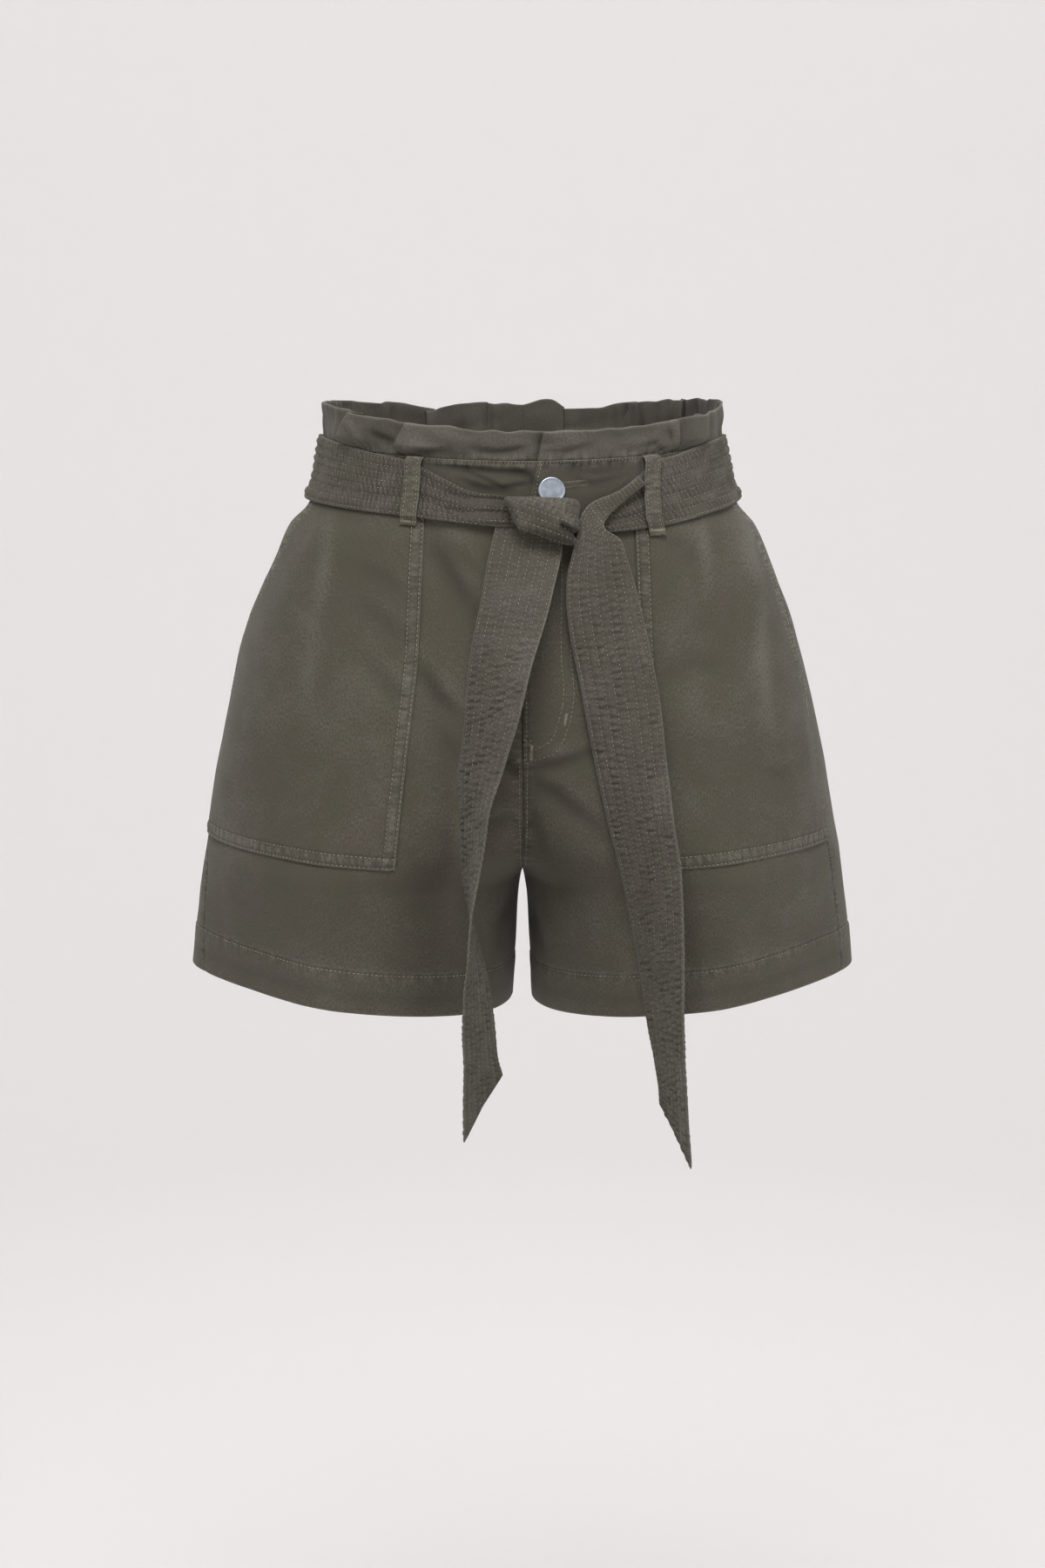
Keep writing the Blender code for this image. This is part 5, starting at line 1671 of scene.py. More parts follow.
@dataclass
class PatchPocket:
    """A large patch over a front, open along its slanted outer edge."""

    side: Side
    cut: Cut
    span: float = 150.0 * MM
    column_gap: float = 1.7 * MM
    fine_gap: float = 0.75 * MM
    seam_reach: float = 11.0 * MM
    row_gap: float = 2.2 * MM
    pressed: float = 0.15 * MM
    rows_in: tuple[float, float] = (1.6 * MM, 8.0 * MM)
    mouth_rows: tuple[float, float] = (1.6 * MM, 8.4 * MM)

    @property
    def name(self) -> str:
        """The pocket's node name."""
        return f"pocket_{self.side.label}"

    def lay(self) -> tuple[Laid, Array]:
        """Lays the patch on its front."""
        length, side = POCKET_TOP - POCKET_BOTTOM, self.side.value
        down = spaced(length, lambda at: self.row_gap if at < length - 11 * MM else 0.75 * MM, rim=0.6 * MM)
        z = POCKET_TOP - down
        gap = near_ends(self.span, self.column_gap, self.fine_gap, self.seam_reach)
        share = spaced(self.span, gap, rim=0.6 * MM) / self.span
        turn = mix(FORM.pocket_turn(side, z)[:, None], FORM.mouth_turn(side, z)[:, None], share)
        points, normal, push = FORM.creased(side, turn, z[:, None])
        laid = Laid.out(points, normal)
        laid.push = push
        return laid, z[:, None]

    def make(self, shop: Workshop) -> None:
        """Builds the pocket and its sewing.

        Args:
            shop: the workshop.
        """
        laid, z = self.lay()
        x, height, seed = laid.points[..., 0], laid.points[..., 2], 70 + self.side.value
        mouth = ease(MOUTH_BOTTOM - 4 * MM, MOUTH_BOTTOM + 30 * MM, z)
        first, last, bottom = laid.first, laid.last, laid.bottom
        sewn = np.minimum(np.minimum(first, bottom), np.where(mouth > 0, last + 40 * MM * mouth, last))
        free = ease(0.0, 12 * MM, sewn)
        slack = (0.5 * MM + 0.3 * MM * mottle(x, height, 34 * MM, seed)) * free
        lift = self.pressed + slack + 1.1 * MM * mouth * hump(last, 0, 16 * MM)

        relief, gather = np.zeros(lift.shape), np.zeros(lift.shape)
        # The creases' crests turn paler, partly worn and partly painted highlight; their troughs get painted
        # shade.
        wear, tone = laid.crease_looks()
        band = sum(self.rows_in) / 2
        for distance, along, way in ((first, -height, -0.65), (bottom, first, 0.65)):
            gather = np.where(distance < 12 * MM, way * hump(distance, band, 3.4 * MM), gather)
            for at in self.rows_in:
                relief += furrow(distance, at, 0.75 * MM, 0.34 * MM)
                # Painted shade in each stitch furrow.
                tone -= 0.45 * hump(distance, at, 0.55 * MM)
            relief += 0.22 * MM * hump(distance, band, 2.2 * MM)
            puckers = ladder(along, distance, band, 3.4 * MM, 6.3 * MM, 0.36 * MM, seed + 2)
            inner = ladder(along, distance, self.rows_in[1] + 4 * MM, 4 * MM, 7.6 * MM, 0.14 * MM, seed + 3)
            relief += puckers + inner
            # Paler on the band and on the puckers' crests, partly worn and partly painted highlight; worn
            # along the sewn edge.
            wear += 0.17 * hump(distance, band, 2.4 * MM) + 0.12 * puckers / (0.36 * MM)
            wear += 0.40 * hump(distance, 0, 0.7 * MM)
        rolled = hump(last, 0, 0.8 * MM)
        for at in self.mouth_rows:
            relief += furrow(last, at, 0.7 * MM, 0.28 * MM) * mouth
            # Painted shade in the mouth's stitch furrows.
            tone -= 0.35 * hump(last, at, 0.6 * MM) * mouth
        relief += ladder(-height, last, 5.0 * MM, 3.6 * MM, 7.0 * MM, 0.24 * MM, seed + 4) * mouth
        wear += 0.4 * rolled * mouth + 0.24 * hump(last, 5.0 * MM, 2.6 * MM) * mouth
        relief += mottle(x, height, 12 * MM, seed + 5) * 0.09 * MM * free
        # Painted shade along the sewn edges.
        tone -= 0.3 * rolled * (1 - mouth)

        rims = np.minimum(np.minimum(first, last), np.minimum(bottom, laid.top))
        gather = gather - 1.0 * hump(last, 5 * MM, 4.0 * MM) * mouth
        wall = laid.wall(lift, CLOTH, relief, np.clip(wear, 0, 1), tone, rims, gather)
        piece = wall.build(f"{self.name}_cloth")
        rows = [wall.beside(at).cut(1 * MM, -1.6 * MM) for at in self.rows_in]
        rows += [wall.across(at) for at in self.rows_in]
        end = int(np.argmin(np.abs(z[:, 0] - MOUTH_BOTTOM)))
        rows += [wall.beside(at, far=True, rows=slice(1, end)) for at in self.mouth_rows]
        bar = wall.beside(1.4 * MM, far=True, rows=slice(end - 1, end + 5))
        sewing = [
            shop.seamstress(pitch=2.75 * MM).sew(f"{self.name}_stitches", rows, 7),
            shop.bar_tacker(stitch=2.0 * MM).sew(f"{self.name}_bartack", [bar], 8),
        ]
        resting = [f"front_{self.side.label}_cloth"]
        shop.hand_over(piece, self.name, shop.finishes.twill, sewing)


# ---- the waist


def overlap_edge(z: Array | float) -> Array | float:
    """The angle at which the wearer's left end of the waist stops, on top of the right end."""
    return 2.2 + 85.0 * z


@dataclass
class WaistHalf:
    """One half of the waist: how its ends lie, for the waistband and the frill on it."""

    side: Side
    underlap_edge: float = 19.8
    dip_width: float = 9.0
    dip_settles: float = 1.5

    def ends(self, z: Array | float) -> tuple[Array | float, Array | float]:
        """The angles at which this half starts and stops."""
        if self.side is Side.LEFT:
            return overlap_edge(z), 179.99
        return -179.99, self.underlap_edge

    def underlap(self, around: Array, z: Array) -> Array:
        """How far the right end dips to pass beneath the left end."""
        if self.side is Side.LEFT:
            return np.zeros(np.broadcast(around, z).shape)
        edge = overlap_edge(z)
        return (BAND_CLOTH + SEAM_GAP) * ease(edge - self.dip_width, edge - self.dip_settles, around)

    @property
    def length(self) -> float:
        """The angle that this half covers at the waistband's top."""
        return 199.8 if self.side is Side.RIGHT else 177.8

    def turns(self, z: Array, gap: Callable[[float], float]) -> Array:
        """Angles along this half, one row for each height."""
        first, last = (np.broadcast_to(end, z.shape)[:, None] for end in self.ends(z))
        return mix(first, last, spaced(self.length, gap) / self.length)


@dataclass
class Waistband:
    """One half of the waistband, with its topstitching."""

    half: WaistHalf
    cut: Cut
    chain_row: float = 1.3 * MM
    low_row: float = 1.4 * MM

    @property
    def name(self) -> str:
        """The node's name."""
        return f"waistband_{self.half.side.label}"

    def gap(self, at: float) -> float:
        """The angle between two columns, small at the front."""
        from_front = abs(at - 180.0) if self.half.side is Side.RIGHT else at
        return 0.32 if from_front < 34 else 1.6

    def make(self, shop: Workshop) -> None:
        """Builds this half of the waistband.

        Args:
            shop: the workshop.
        """
        height, right = BAND_TOP - WAIST_SEAM, self.half.side is Side.RIGHT
        down = spaced(height, lambda at: 0.55 * MM if at < 4.4 * MM or at > height - 3 * MM else 1.1 * MM)
        z = BAND_TOP - down
        turn = self.half.turns(z, self.gap)
        laid = Laid.out(*FORM.ring(turn, z[:, None], -self.half.underlap(turn, z[:, None])))
        x, y, tall = (laid.points[..., k] for k in range(3))
        first, top, seed = laid.first, laid.top, 90 + self.half.side.value
        edge = laid.last if right else first
        relief = furrow(top, self.chain_row, 0.6 * MM, 0.26 * MM)
        relief += furrow(laid.bottom, self.low_row, 0.7 * MM, 0.26 * MM)
        relief += ladder(first, top, 2.6 * MM, 2.6 * MM, 5.2 * MM, 0.16 * MM, seed)
        relief += 0.16 * MM * mottle(x, tall, 14 * MM, seed) * ease(0.0, 3 * MM, top)
        relief += furrow(top, 17.6 * MM, 2.0 * MM, 0.34 * MM) * (0.6 + 0.4 * wander(first, 20 * MM, seed))
        push = crease_height(WAIST_CREASES, x, tall) * (y < 0)
        relief += push
        beads = 0.5 + 0.5 * np.sin(2 * math.pi * first / (2.1 * MM))
        wear = 0.75 * hump(top, 0, 0.5 * MM) + 0.20 * hump(top, 2.4 * MM, 0.7 * MM)
        # Painted shade: dark dots along the chain row, a painted shadow below the frill's foot, and the
        # creases' dark troughs.
        tone = -(0.35 + 0.6 * beads) * hump(top, self.chain_row, 0.45 * MM)
        tone = tone - 0.26 * ease(1 * MM, 5 * MM, top) + 0.6 * np.clip(push / (1.2 * MM), -1, 0)
        if not right:
            relief += furrow(edge, 3.0 * MM, 0.6 * MM, 0.26 * MM)
            wear = wear + 0.35 * hump(edge, 0, 0.7 * MM)
        rims, gather = np.minimum(edge, top + 0.6 * MM), 0.9 * hump(top, 2.2 * MM, 3 * MM)
        wall = laid.wall(-BAND_CLOTH, BAND_CLOTH, relief, np.clip(wear, 0, 1), tone, rims, gather)
        wall.join(0 if right else -1, self.half.side)
        piece = wall.build(f"{self.name}_cloth", straight=True)
        chain, low = wall.across(self.chain_row, low=False), wall.across(self.low_row)
        chainer = shop.seamstress(pitch=2.1 * MM, stitch=1.1 * MM, thread=0.5 * MM)
        sewing = [
            chainer.sew(f"{self.name}_chain", [chain], 9),
            shop.seamstress(pitch=2.6 * MM).sew(f"{self.name}_stitches", [low], 9),
        ]
        if not right:
            sewer = shop.seamstress(pitch=2.4 * MM, stitch=1.8 * MM)
            sewing.append(sewer.sew(f"{self.name}_edge_stitches", [wall.beside(3.0 * MM)], 10))
            hole = [wall.drawn(line, 0.3 * MM) for line in BUTTONHOLE]
            sewer = shop.bar_tacker(stitch=1.3 * MM, pitch=0.6 * MM, finish=shop.finishes.hole_thread)
            sewing.append(sewer.sew("buttonhole_stitches", hole, 11))
        shop.hand_over(piece, self.name, shop.finishes.twill, sewing)


@dataclass
class Frill:
    """One half of the paper-bag frill above the waistband."""

    half: WaistHalf
    cut: Cut
    lean: float = 0.8 * MM
    pleat_step: float = 1.0
    overlap: float = 4.6
    settle: float = 9.0
    rows: int = 20
    height: float = 17.0 * MM
    tops: Table = Table(FRILL_TOPS, "turn")

    @property
    def name(self) -> str:
        """The node's name."""
        return f"frill_{self.half.side.label}"

    def past(self, pleat: Pleat, around: Array, share: Array) -> Array:
        """How far past a pleat's fold each place lies."""
        return wrapped(around - (pleat.turn + pleat.slant * (share - 0.5))) * pleat.toward

    def pleats(self, around: Array, share: Array) -> tuple[Array, Array]:
        """How far each place stands out at the pleats, and how many degrees it folds back."""
        out, back = np.zeros(around.shape), np.zeros(around.shape)
        for pleat in PLEATS:
            past = self.past(pleat, around, share)
            rise = ease(-self.pleat_step, 0.0, past)
            out = np.maximum(out, pleat.depth * rise * (1 - ease(0.0, pleat.reach, past)))
            lap = self.overlap * min(1.0, pleat.depth / (4 * MM))
            back = back - pleat.toward * lap * rise * (1 - ease(0.0, self.settle, past))
        return out, back

    def shade(self, around: Array, share: Array) -> Array:
        """The painted shadow just beneath each pleat's fold, and beneath the left end's edge where it lies
        over the right.
        """
        total = np.zeros(around.shape)
        for pleat in PLEATS:
            past = self.past(pleat, around, share)
            under = np.exp(np.minimum(past + self.pleat_step, 0.0) / 4.5) * (past < 0)
            total = np.maximum(total, 0.6 * under * min(1.0, pleat.depth / (4 * MM)))
        if self.half.side is Side.RIGHT:
            total = np.maximum(total, 0.5 * np.exp(-np.abs(around - overlap_edge(0.03)) / 3.0))
        return total

    def gap(self, at: float) -> float:
        """The angle between two columns, small at the pleats."""
        around = at - 180.0 if self.half.side is Side.RIGHT else at + 4.0
        apart = min(abs(wrapped(around - pleat.turn)) - abs(pleat.slant) / 2 for pleat in PLEATS)
        return 0.24 if apart < 3.6 else 0.95

    def points(self, around: Array, share: Array, lift: Array) -> tuple[Array, Array]:
        """Points on the frill, with share 0 at its foot and 1 at its top, and the way out there."""
        step_out, fold_back = self.pleats(around, share)
        along = np.radians(around) * 0.12
        calm, behind = ease(0.0, 7.0, 180.0 - np.abs(around)), ease(80.0, 120.0, np.abs(wrapped(around)))
        turn = around + fold_back * ease(0.0, 0.22, share)
        low = FORM.ring(turn, np.full(turn.shape, BAND_TOP))[0][..., 2] + 0.05 * MM
        top = self.tops.read("z", wrapped(around)) + 0.8 * MM * wander(along, 8 * MM, 21) * calm
        top = top + (0.3 - 0.18 * behind) * step_out
        flat, out = FORM.ring(turn, np.full(turn.shape, BAND_TOP + 0.05 * MM))
        out = unit(out * np.array([1.0, 1.0, 0.0]))
        gathers = 0.9 * MM * wander(along, 3.4 * MM, 22) * (1 - share) ** 0.5 * ease(0.0, 0.15, share)
        waves = wander(along, 10 * MM, 23) * share + 0.5 * wander(along, 4.6 * MM, 24) * share**1.5
        crumple = 0.55 * MM * mottle(along, share * 0.016, 7 * MM, 25) * ease(0.0, 0.3, share)
        stand = lift + self.lean * share**1.5 + step_out * ease(0.0, 0.35, share)
        stand = stand - 2.2 * MM * hump(np.abs(turn), 88.0, 16.0) * ease(0.0, 0.3, share)
        stand = stand + calm * (gathers * (1 + behind) + (1.0 + 0.9 * behind) * MM * waves + crumple)
        place = flat + out * stand[..., None]
        place[..., 2] = mix(low, top, share)
        return place, out

    def make(self, shop: Workshop) -> None:
        """Builds this half of the frill.

        Args:
            shop: the workshop.
        """
        share = 1 - np.concatenate([[0, 0.008, 0.028, 0.06], np.linspace(0.1, 1, self.rows)])
        z = mix(BAND_TOP, BAND_TOP + self.height, share)
        half, right = self.half, self.half.side is Side.RIGHT
        turn = half.turns(z, self.gap)
        wide = np.broadcast_to(share[:, None], turn.shape)
        foot = half.underlap(turn, np.full(turn.shape, BAND_TOP))
        lift = mix(-foot, -half.underlap(turn, z[:, None]), ease(0.0, 0.3, wide))
        outer, out = self.points(turn, wide, lift)
        inner, _ = self.points(turn, wide, lift - FRILL_CLOTH)
        from_top, edge = (1 - wide) * self.height, lengths(outer, 1)
        end = edge[:, -1:] - edge if right else edge
        draw = rounding(np.minimum(from_top, end), FRILL_CLOTH)[..., None]
        push = crease_height(WAIST_CREASES, outer[..., 0], outer[..., 2]) * (outer[..., 1] < 0)
        flap = 0.0 if right else 1.6 * MM * np.exp(-edge / (14 * MM)) * ease(0.0, 0.4, wide)
        push = (push * ease(0.0, 0.12, wide) + flap)[..., None]
        outer, inner = outer + out * (push - draw), inner + out * (push + draw)
        bend, _ = self.pleats(turn, wide)
        steep = np.abs(np.gradient(bend, axis=1) / np.gradient(turn, axis=1))
        # Painted highlight on the pleats' outermost flaps; worn along the top edge; the right half is paler
        # towards the front.
        wear = 0.16 * np.clip(bend / (4.5 * MM), 0, 1) ** 8 * ease(0.05, 0.3, wide)
        wear = 0.5 * hump(from_top, 0, 0.9 * MM) + wear
        if right:
            wear = wear + 0.09 * ease(45.0, 25.0, np.abs(turn))
        # Painted shade at the frill's foot, on the pleats' steep steps, in the creases' troughs and beneath
        # each pleat's fold.
        tone = -0.3 * hump(from_top, self.height, 1.0 * MM) - np.clip(steep / (4 * MM), 0, 0.7)
        tone = tone + 0.6 * np.clip(push[..., 0] / (1.2 * MM), -1, 0) - self.shade(turn, wide)
        wall = Wall(outer, inner, np.clip(wear, 0, 1), tone, 0.7 * hump(from_top, self.height, 4 * MM))
        wall.join(0 if right else -1, half.side)
        # Its inner face gets painted shade.
        piece = wall.build(f"{self.name}_cloth", straight=True, inside=-0.3)
        resting = [f"waistband_{half.side.label}_cloth"]
        shop.hand_over(piece, self.name, shop.finishes.frill)


# ---- the belt


@dataclass(frozen=True)
class Quilt:
    """The belt's eight rows of stitches and the puckers between them."""

    margin: float = 2.1 * MM
    arch: float = 0.62 * MM
    pucker: float = 0.74 * MM
    pitch: float = 4.5 * MM
    slant: float = 0.6
    inner_points: int = 3

    @property
    def edge(self) -> float:
        """How far in the outer rows lie, as a share of the belt's width."""
        return self.margin / (45 * MM)

    def shares(self) -> Array:
        """Places across the belt from 0 to 1: on every row of stitches and between them."""
        rows = np.linspace(self.edge, 1 - self.edge, CHANNELS * (self.inner_points + 1) + 1)
        rim = self.edge * np.array([0.0, 0.1, 0.32, 0.65])
        return np.concatenate([rim, rows, 1 - rim[::-1]])[None, :]

    def row_columns(self) -> range:
        """Which of those places lie on rows of stitches."""
        step = self.inner_points + 1
        return range(4, 4 + CHANNELS * step + 1, step)

    def relief(self, share: Array, along: Array, strength: Array | float, seed: int) -> Array:
        """The height of the quilting.

        Args:
            share: places across, from 0 to 1.
            along: distances along the belt.
            strength: how strong the puckers are.
            seed: picks how they wander.

        Returns:
            The relief, 0 on the crest of a channel.
        """
        channel = (share - self.edge) / (1 - 2 * self.edge) * CHANNELS
        number = np.clip(np.floor(channel), -1, CHANNELS).astype(int)
        part = np.clip(channel - number, 0, 1)
        margin = (channel < 0) | (channel > CHANNELS)
        beyond = np.where(channel < 0, -channel, channel - CHANNELS) / (CHANNELS * self.edge) * 2.2
        crown = np.clip(np.where(margin, beyond, np.abs(np.sin(math.pi * part)) ** 0.7), 0, 1)
        shift = np.random.default_rng(seed).uniform(0, 2 * math.pi, CHANNELS + 2)[number + 1]
        slip = 1.9 * wander(along + 0.013 * number, 9 * MM, seed + 1)
        lean = self.slant * 2 * math.pi * (part - 0.5) * (0.6 + 0.5 * wander(along, 30 * MM, seed + 2))
        strong = 0.6 + 0.5 * wander(along + 0.031 * number, 7 * MM, seed + 3)
        waves = np.sin(2 * math.pi * along / self.pitch + shift * 0.35 + slip + lean)
        waves = waves * (0.35 + 0.65 * crown) * np.where(margin, 0.4, 1.0)
        cords = 0.35 * np.sin(2 * math.pi * along / (self.pitch * 0.53) + shift + 2 * slip) * crown
        push = self.pucker * strength
        return self.arch * (crown - 1) + push * strong * (waves + cords) - push

    def looks(self, relief: Array, edge: Array, worn: float) -> tuple[Array, Array]:
        """The paler crests, partly worn and partly painted highlight, the worn edges, and the dark troughs
        as painted shade, that go with a relief.
        """
        # Crests paler with wear and painted highlight; deep troughs darker with painted shade.
        crest = np.clip((relief + self.pucker) / (1.6 * self.pucker), 0, 1) ** 2
        deep = -np.clip((-relief - self.pucker - 0.5 * self.arch) / self.arch, 0, 1)
        return np.clip(0.46 * crest + worn * hump(edge, 0, 0.6 * MM), 0, 1), 0.55 * deep


@dataclass
class Strap:
    """A doubled strip of cloth lofted through sections, with a front and a back face."""

    front: Array
    back: Array
    looks: tuple[Array, Array]
    along: Array
    gather: float
    back_looks: tuple[Array, Array] | None = None

    @staticmethod
    def calmed(across: Array) -> Array:
        """Distances across the strap as on the flat strip, before the quilting roughened them."""
        total = across[:, -1]
        return (across / total[:, None]).mean(axis=0) * averaged(total, 8)[:, None]

    def build(self, name: str) -> bpy.types.Object:
        """Makes the strap's object, at the origin."""
        rings = np.concatenate([self.front, self.back[:, ::-1]], axis=1)
        width = self.calmed(lengths(self.front, 1))
        turned = width[:, -1:] + self.calmed(lengths(self.back[:, ::-1], 1)) + 1 * MM
        across = np.concatenate([width, turned], axis=1)
        down = np.broadcast_to(self.along[:, None], across.shape)
        if rings.shape[1] % 2:
            rings, across, down = rings[:, :-1], across[:, :-1], down[:, :-1]
        cut, blank = rings.shape[1] - self.front.shape[1], np.zeros(self.back.shape[:2])
        layers = {
            name: np.concatenate([ahead, behind[:, ::-1][:, :cut]], axis=1)
            for name, ahead, behind in zip(("wear", "tone"), self.looks, self.back_looks or (blank, blank))
        }
        layers["gather"] = np.full(rings.shape[:2], self.gather)
        return loft(name, rings, np.stack([down, across], axis=-1), layers)


def averaged(values: Array, reach: int) -> Array:
    """Each value as the mean of its neighbours on both sides."""
    count = 2 * reach + 1
    return np.convolve(np.pad(values, reach, mode="edge"), np.full(count, 1 / count), mode="valid")


def strap_rows(face: Array, behind: Array, columns: Sequence[int]) -> list[Row]:
    """Rows of stitches down some columns of a strap's face, which stop short of its ends."""
    facing = grid_facing(face, behind)
    return [Row(face[2:-2, k], facing[2:-2, k]) for k in columns]


@dataclass
class BeltBand:
    """The belt round the waist, from behind the knot and back to it."""

    cut: Cut
    step: float = 0.42
    quilt: Quilt = Quilt(pitch=3.3 * MM, pucker=0.70 * MM, arch=0.46 * MM, slant=0.8)
    stations: Table = Table(BELT_STATIONS, "turn")
    flare_starts: float = 14.0
    flare_ends: float = 22.0

    def over_pocket(self, around: Array, z: Array) -> Array:
        """How much further the belt's lower edge stands off over the pockets."""
        beside = ease(self.flare_starts, self.flare_ends, np.abs(wrapped(around)))
        return (POCKET_LIFT + CLOTH) * beside * ease(POCKET_TOP + 10 * MM, POCKET_TOP + 4 * MM, z)

    def held(self, around: Array) -> Array:
        """How firmly a belt loop presses on the belt at an angle."""
        middles = [(loop.top_turn + loop.bottom_turn) / 2 for loop in LOOPS]
        apart = np.minimum.reduce([np.abs(wrapped(around - middle)) for middle in middles])
        return np.exp(-((apart / 4.5) ** 4))

    def make(self, shop: Workshop) -> None:
        """Builds the band and its eight rows of stitches.

        Args:
            shop: the workshop.
        """
        first, last = BELT_STATIONS[0].turn, BELT_STATIONS[-1].turn
        turn = np.linspace(first, last, round((first - last) / self.step) + 1)[:, None]
        top, bottom, lift, bunch = (
            self.stations.read(column, turn) for column in ("top", "bottom", "lift", "bunch")
        )
        share = self.quilt.shares()
        z = mix(top, bottom, share)
        wide, turns = share + 0 * z, turn + 0 * z
        flat, _ = FORM.ring(turns, z)
        along = lengths(flat[:, flat.shape[1] // 2], 0)
        length = np.broadcast_to(along[:, None], z.shape)
        held = self.held(turn)
        relief = self.quilt.relief(wide, length, 1.0 + 0.9 * bunch, 31) * (1 - 0.6 * held) - 0.9 * MM * held
        folds = 2 * math.pi * (share * 2.4 + 0.15 * np.sin(length / (9 * MM)) + 0.1)
        folds = 1.3 * MM * bunch * np.sin(folds)
        sway = 0.35 * MM * mottle(length, share * 0.04, 22 * MM, 33)
        stand = self.over_pocket(turn, z)
        rise = lift + BELT_CLOTH + relief + sway + folds - 1.0 * MM * bunch + stand
        from_edge = np.minimum(wide, 1 - wide) * 0.037
        draw, low = rounding(from_edge, BELT_CLOTH), lift + 0.1 * MM + stand
        face, back, inside = (FORM.ring(turns, z, out)[0] for out in (rise - draw, low + draw, low - 3 * MM))
        plain = [0, 6, 14, 22, share.size - 7, share.size - 1]
        strap = Strap(face, back[:, plain], self.quilt.looks(relief, from_edge, 0.5), along, 0.25)
        piece = strap.build("belt_band_cloth")
        rows = strap_rows(face, inside, self.quilt.row_columns())
        sewing = [shop.quilter().sew("belt_band_stitches", rows, 12)]
        shop.hand_over(piece, "belt_band", shop.finishes.belt, sewing)


@dataclass
class Tail:
    """A hanging end of the belt, quilted on both faces, with a slanted tip."""

    side: Side
    stations: Sequence[TailStation]
    cut: Cut
    step: float = 0.95 * MM
    quilt: Quilt = Quilt()

    def path(self) -> dict[str, Array]:
        """Reads the stations along a smooth path, at even distances."""
        table = np.array(self.stations, float)
        table = np.vstack([table[:1], table, table[-1:]])
        rows = []
        for before, start, end, after in zip(table, table[1:], table[2:], table[3:]):
            spans = max(2, round(math.dist(start[:3], end[:3]) / self.step))
            t = (np.arange(spans) / spans)[:, None]
            near = before * (-t + 2 * t**2 - t**3) / 2 + start * (2 - 5 * t**2 + 3 * t**3) / 2
            rows.append(near + end * (t + 4 * t**2 - 3 * t**3) / 2 + after * (-(t**2) + t**3) / 2)
        dense = np.vstack([*rows, table[-1:]])
        return {name: dense[:, k][:, None] for k, name in enumerate(TailStation._fields)}

    def make(self, shop: Workshop) -> None:
        """Builds the belt end and its stitches.

        Args:
            shop: the workshop.
        """
        row, seed, name = self.path(), 41 + self.side.value, f"belt_end_{self.side.label}"
        middle = np.concatenate([row["x"], row["y"], row["z"]], axis=1)[:, None, :]
        along = lengths(middle[:, 0], 0)
        turn, tilt = np.radians(row["turn"]), np.radians(row["tilt"])
        across_way = [np.cos(turn) * np.cos(tilt), -np.sin(turn), -np.cos(turn) * np.sin(tilt)]
        across_way = np.concatenate(across_way, axis=1)[:, None, :]
        front_way = np.concatenate([-np.sin(turn), -np.cos(turn), 0 * turn], axis=1)[:, None, :]
        share = self.quilt.shares()
        length = np.broadcast_to(along[:, None], (len(along), share.size))
        strength = np.clip(row["width"] / 0.045, 0.5, 1.0)
        if self.side is Side.RIGHT:
            strength = strength * mix(0.45, 1.1, ease(40 * MM, 110 * MM, length))
        to_tip, spread = along[-1] - length, share * 2 - 1
        from_edge = np.minimum(share, 1 - share) * row["width"]
        draw = rounding(np.minimum(from_edge, to_tip + 0.05 * MM), row["thick"])
        sway = 0.8 * MM * wander(length, 22 * MM, seed + 3) * spread
        sway = sway + 1.0 * MM * spread**2 * wander(length, 60 * MM, seed)
        centre = middle + across_way * (spread * row["width"] / 2)[..., None]
        convex = row["skew"] * (spread - 0.16 * (1 - spread**2))
        centre[..., 2] -= convex
        centre = centre + front_way * sway[..., None]
        faces, looks = [], []
        for sign, face_seed in ((1, seed), (-1, seed + 7)):
            relief = self.quilt.relief(share + 0 * length, length, strength, face_seed)
            out = row["thick"] / 2 + 0.15 * MM + relief - draw
            faces.append(centre + front_way * (sign * out)[..., None])
            looks.append(self.quilt.looks(relief, np.minimum(from_edge, to_tip), 0.55))
        piece = Strap(*faces, looks[0], along, 0.22, looks[1]).build(f"{name}_cloth")
        columns = self.quilt.row_columns()
        rows = strap_rows(*faces, columns) + strap_rows(*faces[::-1], columns)
        sewing, resting = [shop.quilter().sew(f"{name}_stitches", rows, 13)], ["belt_knot_cloth"]
        shop.hand_over(piece, name, shop.finishes.belt, sewing)


